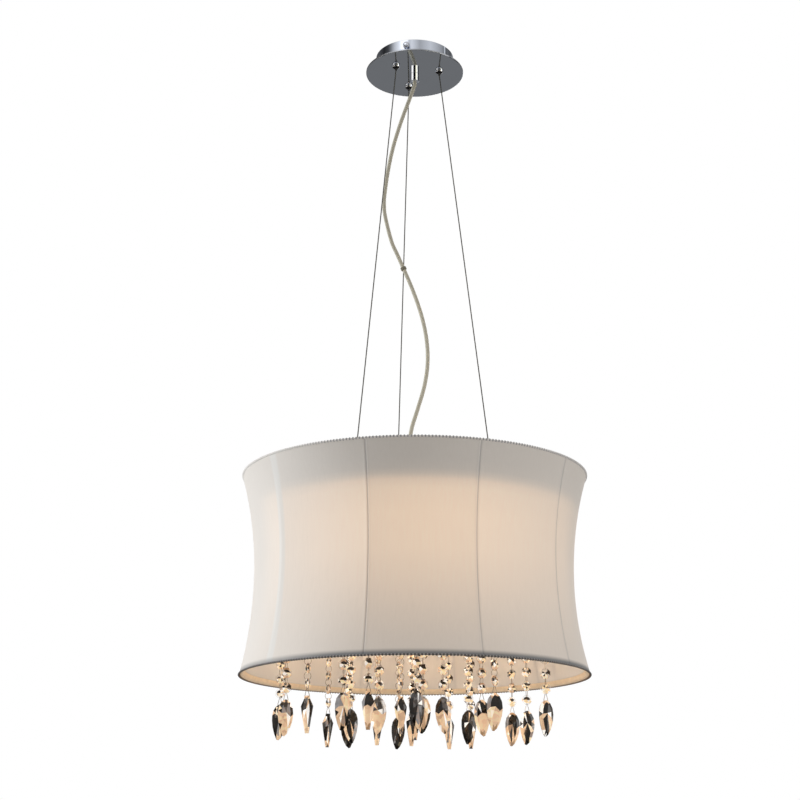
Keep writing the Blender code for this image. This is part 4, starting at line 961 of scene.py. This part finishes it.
def drum_band(name, angles, levels, corner, finish, node, sharp, inner=()):
    """A closed band round the drum, from its section's corners at each angle.

    The run map holds turns from the first angle, and each corner's level in metres. The faces
    after the corners in inner are marked."""
    bm = bmesh.new()
    bm.loops.layers.uv.new("run")
    mark = bm.faces.layers.float.new("inner") if inner else None
    count = len(levels)
    rings = [[bm.verts.new(corner(angle, s)) for s in range(count)] for angle in angles]
    turns = [(angle - angles[0]) / 360 for angle in angles] + [1.0]
    for k, (ring, after) in enumerate(neighbours(rings)):
        for s in range(count):
            t = (s + 1) % count
            face = mapped_face(bm, (ring[s], after[s], after[t], ring[t]), (turns[k], levels[s]),
                               (turns[k + 1], levels[t]))
            if s in inner:
                face[mark] = 1.0
    return add_piece(name, bm, finish, node, "shade", sharp)


def cloth_sheet(name, angles, heights, radius, thickness, finish, node):
    """A closed sheet: its outside goes up and its inside comes down."""
    levels = [*heights, *heights[::-1]]

    def corner(angle, s):
        inset = thickness if s >= len(heights) else 0.0
        return polar(radius(levels[s], angle) - inset, angle, levels[s])

    return drum_band(name, angles, levels, corner, finish, node, 50)


def levels_between(low, high, step):
    count = max(round((high - low) / step), 1)
    return [low + (high - low) * k / count for k in range(count + 1)]


print("drum form ready,", len(cover_angles), "columns")

# %% [markdown]
# ## Shade frame
# The frame is white painted wire: a hoop at each edge, ten uprights between them, and an inner
# ring on five spokes that rests on the mirror tray and carries the whole shade.

# %% White wire frame
white_paint = drifting("white_painted_wire", 300.0, (0.74, 0.72, 0.68), (0.86, 0.84, 0.8), 0.15, Roughness=0.45)

RIB_INSET, EDGE_WIRE, RIB_WIRE = 3.0 * MM, 1.5 * MM, 1.4 * MM
GALLERY_RING, GALLERY_WIRE, GALLERY_SPOKE = 180.0 * MM, 1.75 * MM, 1.5 * MM
gallery_height = TRAY_TOP + 0.3 * MM + GALLERY_WIRE
edge_levels = [SHADE_BOTTOM + 3.5 * MM, SHADE_TOP - 3.5 * MM]


def rib_point(height, angle):
    return polar(cover_radius(height, angle) - RIB_INSET, angle, height)


bm = bmesh.new()
for level in edge_levels:
    swept([rib_point(level, 360 * k / 180) for k in range(180)], EDGE_WIRE, 10, bm, closed=True)
swept(hoop(GALLERY_RING, gallery_height, 144), GALLERY_WIRE, 10, bm, closed=True)
rib_angles = [FIRST_RIB + PANEL * number for number in range(RIBS)]
for angle in rib_angles:
    swept([rib_point(z, angle) for z in levels_between(*edge_levels, 12 * MM)], RIB_WIRE, 8, bm)
    if angle in rib_angles[::2]:
        spoke = [polar(GALLERY_RING, angle, gallery_height), rib_point(gallery_height, angle)]
        swept(spoke, GALLERY_SPOKE, 8, bm)
add_piece("painted_wire_frame", bm, white_paint, "shade_frame", "shade", 60)
print("shade frame made")

# %% [markdown]
# ## Cloth of the shade
# The cover is an off-white silk-like cloth with upright slubs. The bulbs below the tray light it
# from inside, so it glows warm from the tray down and stays cool and grey above. A bulb's light
# through cloth would need many samples, so the cloth itself gives that glow as painted light: a
# smooth curve over the height, a little stronger in front of each bulb and weaker over the seams.
# The seams are thin lines in painted shadow of the rib wires, but the one nearest the big lamp gets
# a broad pale painted highlight, as if lit from the side. The turned-in lower edge gets painted shade.

# %% Cloth finish
FRONT_LOBE, SIDE_LOBE, LAMP_SIDE = 3, 75, -75
GLOW_CURVE = ((0, 0.16), (0.09, 0.27), (0.2, 0.44), (0.34, 0.7), (0.5, 0.94), (0.66, 1),
              (0.77, 0.9), (0.804, 0.68), (0.832, 0.24), (0.856, 0.05), (0.9, 0))


def facing(around, angle):
    """1 where the drum faces an angle and -1 at the far side; around counts turns from the first rib."""
    return (around * (2 * pi) + radians(FIRST_RIB + 90 - angle)).sine()


def shade_cloth(name, light, dark, glow, seam_shade):
    made = Finish(name, Roughness=0.85, Emission_Strength=1.0, Sheen_Weight=0.12)
    around, level = made.run()
    slub = made.mottle((420.0, 420.0, 26.0), 3.0, 0.6)
    threads = ((around * 3000.0) * (2 * pi)).sine() * ((level * 2200.0) * (2 * pi)).sine()
    cloud = made.mottle(9.0)
    base = made.mix(slub * 0.7 + cloud * 0.3, dark, light)
    # Painted shade along the turned-in lower edge, lighter on the side of the big lamp.
    painted_edge_shade = made.between(level, SHADE_BOTTOM + 3.2 * MM, SHADE_BOTTOM + 10.0 * MM, 0.88, 0.0)
    painted_edge_shade = painted_edge_shade * (1.0 - made.between(facing(around, LAMP_SIDE), 0.6, 0.95) * 0.4)
    # Seams: a thin dark stitched line and a wide painted shadow of the rib wire; at the first rib, on the big
    # lamp's side, a broad pale painted highlight instead.
    from_line = ((around * RIBS + 0.5).fraction() - 0.5).size()
    seam = made.between(from_line, 0.0, 0.0082, 1.0, 0.0)
    wide = made.between(from_line, 0.0, 0.035, 1.0, 0.0)
    mid = made.between((level - SHADE_MIDDLE).size(), 0.04, 0.12, 1.0, 0.55)
    lamp_side_rib = made.between(facing(around, FIRST_RIB), 0.88, 0.98)
    painted_lamp_highlight = made.between(from_line, 0.026, 0.066, 1.0, 0.0) * lamp_side_rib
    line = (seam * seam_shade * mid + wide * 0.09) * (1.0 - lamp_side_rib)
    seamed = made.mix(line, made.mix(painted_lamp_highlight * 0.4, base, (0.84, 0.865, 0.87)), (0.25, 0.28, 0.33))
    made.feed(Base_Color=made.mix(painted_edge_shade, seamed, (0.115, 0.142, 0.17)))
    # The painted glow: by height, stronger in front of the bulbs, weaker at slubs, seam shadows and the shaded
    # edge.
    height = (level - SHADE_BOTTOM) * (1 / (SHADE_TOP - SHADE_BOTTOM))
    near = made.first_part(made.ramp(height, GLOW_CURVE))
    front, side = facing(around, FRONT_LOBE), facing(around, SIDE_LOBE)
    fore = (front * 0.5 + 0.5) ** 4.1 * made.between(front, 0.22, 0.5)
    lobe = fore + 0.23 * (side * 0.5 + 0.5) ** 6.0 + 0.6 * (0.5 - front * 0.5) ** 4.0
    shaded = (1 - seam * 0.34) * (1 - wide * 0.14) * (1 - painted_lamp_highlight * 0.6) * (1 - painted_edge_shade * 0.8)
    lit = near * lobe * (1.0 + (slub - 0.5) * 0.16) * shaded
    made.feed(Emission_Color=made.mix(lit, 0.0, glow))
    made.bump(slub * 0.8 + threads * 0.06, 0.18, 0.25 * MM)
    return made


cover_cloth = shade_cloth("cream_shade_cloth", (0.8, 0.77, 0.735), (0.735, 0.7, 0.66),
                          (0.375, 0.235, 0.125), 0.5)
# The lining gets the same painted light: a weaker painted glow and fainter seam shadows.
lining_cloth = shade_cloth("lining_cloth", (0.83, 0.8, 0.765), (0.76, 0.72, 0.68),
                           (0.28, 0.185, 0.125), 0.1)
print("cloth finishes made")

# %% Cover
COVER_THICK, LINING_INSET, LINING_THICK = 1.2 * MM, 4.8 * MM, 0.8 * MM


def from_seam(angle):
    """Millimetres from the nearest seam, along the waist."""
    away = (angle - FIRST_RIB) % PANEL
    return min(away, PANEL - away) * radians(1) * WAIST / MM


def cover_surface(height, angle):
    """The cover's outside: a stitched dip at each seam, and small tucks below the braid."""
    seam = from_seam(angle)
    depth = 0.15 if round((angle - FIRST_RIB) / PANEL) % RIBS == 0 else 1.0
    dip = 0.45 * exp(-(seam / 0.7) ** 2) - 0.3 * exp(-((seam - 1.7) / 0.9) ** 2)
    edge = min(height - SHADE_BOTTOM, SHADE_TOP - height)
    tuck = sin(radians(angle) * 90) * exp(-edge / (9 * MM)) * 0.16
    return cover_radius(height, angle) - (dip * depth + tuck) * MM


fine_levels = levels_between(SHADE_BOTTOM + 0.8 * MM, SHADE_TOP - 0.8 * MM, 5 * MM)
cover = cloth_sheet("hourglass_cover", cover_angles, fine_levels, cover_surface, COVER_THICK, cover_cloth,
                    "shade_fabric")
print("cover made")


# %% Lining with slots for the spokes
def slot_box(angle):
    """A small box round one spoke, to cut its slot."""
    bm = bmesh.new()
    bmesh.ops.create_cube(bm, size=1.0)
    width = (GALLERY_SPOKE + 0.6 * MM) * 2
    place = polar(cover_radius(gallery_height, angle) - LINING_INSET, angle, gallery_height)
    turn = Matrix.Rotation(radians(angle), 4, 'Z')
    bm.transform(Matrix.Translation(place) @ turn @ Matrix.Diagonal((width, 24 * MM, width, 1.0)))
    return bm


lining_levels = levels_between(SHADE_BOTTOM + 8 * MM, SHADE_TOP - 8 * MM, 8 * MM)
lining = cloth_sheet("stretched_lining", cover_angles[::2], lining_levels,
                     lambda z, a: cover_radius(z, a) - LINING_INSET, LINING_THICK, lining_cloth,
                     "shade_liner")
for angle in rib_angles[::2]:
    cut_away(lining, slot_box(angle))
print("lining made")

# %% [markdown]
# ## Braid and hem
# A narrow scalloped braid binds both edges of the cover, and inside the drum a padded hem hides
# the lower hoop. The scallops are about four millimetres wide, so the outline of the edge looks
# finely toothed from across the room. Both braids carry painted shade and painted lamp light, and
# the hem a painted warm glow.

# %% Braid finish
SCALLOPS = 340
braid_thread = Finish("braid_thread", Roughness=0.75, Sheen_Weight=0.15)
around, level = braid_thread.run()
upper = braid_thread.between(level, SHADE_MIDDLE - 10 * MM, SHADE_MIDDLE + 10 * MM)
from_top = ((around * SCALLOPS).fraction() - 0.5).size()
gap = braid_thread.between(from_top, 0.2, 0.42)
dot = braid_thread.between(from_top, 0.1, 0.26)
# Painted light on the braid: the upper braid is painted lighter on the big lamp's side, the inner faces warm
# for the bulbs' light, and the lower braid dark, partly its grey cord and partly painted shade on its downward
# face.
lamp_lit_side = braid_thread.between(facing(around, -80), 0.5, 0.9)
thread = (around * (SCALLOPS * 4.0) + level * 380.0).wave() * 0.2 + gap * 0.8
low_tone = braid_thread.mix(thread, (0.055, 0.055, 0.06), (0.34, 0.33, 0.32))
painted_bulb_light_tone = braid_thread.mix(thread, (0.13, 0.07, 0.035), (0.42, 0.28, 0.165))
top_tone = braid_thread.mix(dot + lamp_lit_side, (0.36, 0.37, 0.4), (0.8, 0.785, 0.765))
outer_tone = braid_thread.mix(upper, low_tone, top_tone)
braid_thread.feed(Base_Color=braid_thread.mix(braid_thread.mark("inner"), outer_tone, painted_bulb_light_tone))
braid_thread.bump(thread, 0.6, 0.3 * MM)

# %% Scalloped braid
BRAID_SECTION = ((0.95, 0.8), (1, 1.5), (0.7, 2.2), (0.2, 2.7), (-0.25, 3), (-1.1, 3), (-1.7, 2.6),
                 (-2, 1.8), (-1.9, 0.9), (-1.4, 0.3), (-0.5, 0), (0.35, 0.1))
LOBE_DEPTH, LOBE_SWELL = 1.3, 0.25
braid_angles = [FIRST_RIB + 360 * k / (SCALLOPS * 6) for k in range(SCALLOPS * 6)]


def braid(name, node, edge, way):
    """A band wrapped over the edge of the cover; way is 1 at the upper edge and -1 at the lower one."""
    def corner(angle, s):
        out, back = BRAID_SECTION[s]
        lobe = abs(sin(radians((angle - FIRST_RIB) * SCALLOPS / 2)))
        near = max(0.0, 1 - back / 2.4)
        z = edge - way * (back + LOBE_DEPTH * near * (1 - lobe)) * MM
        swell = LOBE_SWELL * lobe * (0.3 < out)
        return polar(cover_radius(z, angle) + (out + swell) * MM, angle, z)

    levels = [edge - way * back * MM for _, back in BRAID_SECTION]
    inner = [s for s, (out, _) in enumerate(BRAID_SECTION) if out < -1.0]
    return drum_band(name, braid_angles, levels, corner, braid_thread, node, 60, inner)


top_braid = braid("scalloped_braid_top", "top_trim", SHADE_TOP, 1)
low_braid = braid("scalloped_braid_bottom", "bottom_trim", SHADE_BOTTOM, -1)
print("braids made:", SCALLOPS, "scallops round each edge")

# %% Padded hem inside
hem_cloth = Finish("hem_cloth", Roughness=0.8, Emission_Strength=1.0, Sheen_Weight=0.1)
weave = hem_cloth.mottle(520.0, 3.0, 0.6)
gather = hem_cloth.mottle((160.0, 160.0, 60.0))
# The hem's warm peach tint and its glow are painted light from the bulbs on the cream cloth.
hem_cloth.feed(Base_Color=hem_cloth.mix(weave * 0.6 + gather * 0.4, (0.55, 0.43, 0.3), (0.84, 0.72, 0.57)),
               Emission_Color=hem_cloth.mix(gather, (0.11, 0.062, 0.028), (0.22, 0.14, 0.068)))
hem_cloth.bump(weave * 0.5 + gather * 0.5, 0.5, 0.5 * MM)
HEM_SECTION = ((1.35, 0.5), (1.35, 7.4), (2.6, 8.3), (4.4, 8.2), (5.4, 6.8), (5.9, 4.4), (5.6, 1.6),
               (4.4, -0.3), (2.3, -0.6))
hem_angles = [360 * k / 720 for k in range(720)]
chance = random.Random(7)
GATHERS = [(chance.randint(50, 160), chance.uniform(0, 6.28)) for _ in range(4)]


def hem(name, low):
    """A soft band wrapped round an edge hoop, just inside the cover."""
    levels = [low + up * MM for _, up in HEM_SECTION]

    def corner(angle, s):
        inset = HEM_SECTION[s][0]
        if inset > 2.5:
            inset += sum(sin(n * radians(angle) + phase) for n, phase in GATHERS) * 0.07
        return polar(cover_radius(levels[s], angle) - inset * MM, angle, levels[s])

    return drum_band(name, hem_angles, levels, corner, hem_cloth, None, 70)


low_hem = hem("padded_hem_bottom", SHADE_BOTTOM + 1.8 * MM)
top_hem = hem("padded_hem_top", SHADE_TOP - 10.0 * MM)

# %% [markdown]
# ## Room and light
# The room is white and softly lit: a large soft lamp on the left, a weaker one on the right, and a
# dim grey world. Polished metal needs more to mirror than that, so it sees light and dark strips
# round the room, as a photographer sets up white cards and black flags. Cloth doesn't see them.
# The background itself is plain white. The floor is a round pale disc well below the lamp.

# %% World
class RoomLight(Finish):
    """The world's light, built from the same sockets and nodes as a finish."""

    def __init__(self, name):
        world = bpy.data.worlds.new(name)
        world.use_nodes = True
        scene.world = world
        self.tree = world.node_tree

    def shown_as(self, shader):
        self.tree.links.new(shader.link, self.tree.nodes["World Output"].inputs["Surface"])


studio = RoomLight("studio")
right, back, up = studio.parts(studio.place("Generated"))
soft_room = studio.ramp(up * 0.5 + 0.5, [
    (0.1, (0.195, 0.195, 0.2)), (0.5, (0.42, 0.4, 0.372)), (0.72, (0.61, 0.582, 0.555))])
turned_by = studio.node("Math", {"operation": 'ARCTAN2'}, [right, back * -1.0])


def strips(tones):
    """Light and dark strips round the room: (degrees from the front, tone) from left to right."""
    stops = [(0.5 + angle / 360, tone) for angle, tone in tones]
    return studio.ramp(turned_by * (0.5 / pi) + 0.5, stops)


WHITE_CARD, WARM_CARD = (2.5, 2.25, 1.9), (2.0, 1.75, 1.15)
ceiling_strips = strips([(-180, 0.1), (-133, 0.085), (-104, 0.02), (-86, 0.06), (-76, 0.2), (-63, 0.58),
                         (-48, 0.95), (-40, 1.35), (-23, 1.35), (-17, 0.62), (-9, 0.78), (15, 0.43), (47, 0.66),
                         (80, 0.4), (93, 0.3), (96, 0.05), (99, 0.62), (103, 0.62), (106, 0.05),
                         (112, 0.15), (135, 0.09), (158, 0.3), (180, 0.1)])
floor_strips = strips([(-140, 0.26), (-125, 0.02), (-103, 0.02), (-97, WHITE_CARD), (-42, WHITE_CARD),
                       (-35, 0.01), (21, 0.01), (28, WARM_CARD), (80, WARM_CARD), (86, 0.02), (125, 0.02),
                       (140, 0.26)])
mirrored = studio.node("LightPath", {}, output="Is Glossy Ray")
high = studio.between(up, 0.26, 0.34) - studio.between(up, 0.58, 0.68)
low = studio.between(up, -0.6, -0.55) - studio.between(up, -0.42, -0.37)
under = studio.between(up, -0.2, -0.05, 0.9, 0.0)
below = studio.mix(mirrored * low, studio.mix(mirrored * under, soft_room, 0.02), floor_strips)
room = studio.node("Background", {}, [studio.mix(mirrored * high, below, ceiling_strips)])
backdrop = studio.node("Background", {}, [1.0])
straight_on = studio.node("LightPath", {}, output="Is Camera Ray")
studio.shown_as(studio.node("MixShader", {}, [straight_on, room, backdrop]))
print("world made")

# %% Studio lamps
LAMP_MIDDLE = Vector((0.0, 0.0, -0.55))


def soft_lamp(name, place, width, height, power, tint):
    data = bpy.data.lights.new(name, 'AREA')
    data.shape = 'RECTANGLE'
    data.size, data.size_y = width, height
    data.energy = power
    data.color = tint
    lamp = bpy.data.objects.new(name, data)
    lamp.location = place
    lamp.rotation_euler = (LAMP_MIDDLE - Vector(place)).to_track_quat('-Z', 'Y').to_euler()
    scene.collection.objects.link(lamp)
    return lamp


left_lamp = soft_lamp("left_softbox", (-2.5, 0.15, -0.3), 1.3, 2.2, 50.5, (0.94, 0.965, 0.985))
left_lamp.visible_glossy = False
soft_lamp("right_softbox", (2.45, -0.9, -0.5), 1.1, 2.0, 14.0, (1.0, 0.96, 0.92))
soft_lamp("back_softbox", (0.6, 2.4, 0.1), 1.8, 1.6, 22.0, (1.0, 0.98, 0.96))

# %% Floor
floor_paint = drifting("pale_floor", 3.0, (0.76, 0.75, 0.73), (0.82, 0.81, 0.79), Roughness=0.7)
disc = [(0, -2750), (1550, -2750), (1600, -2755), (1600, -2800), (0, -2800)]
floor = new_object("floor", turned(disc, 96))
floor.data.materials.append(floor_paint.material)
print("lamps and floor made")
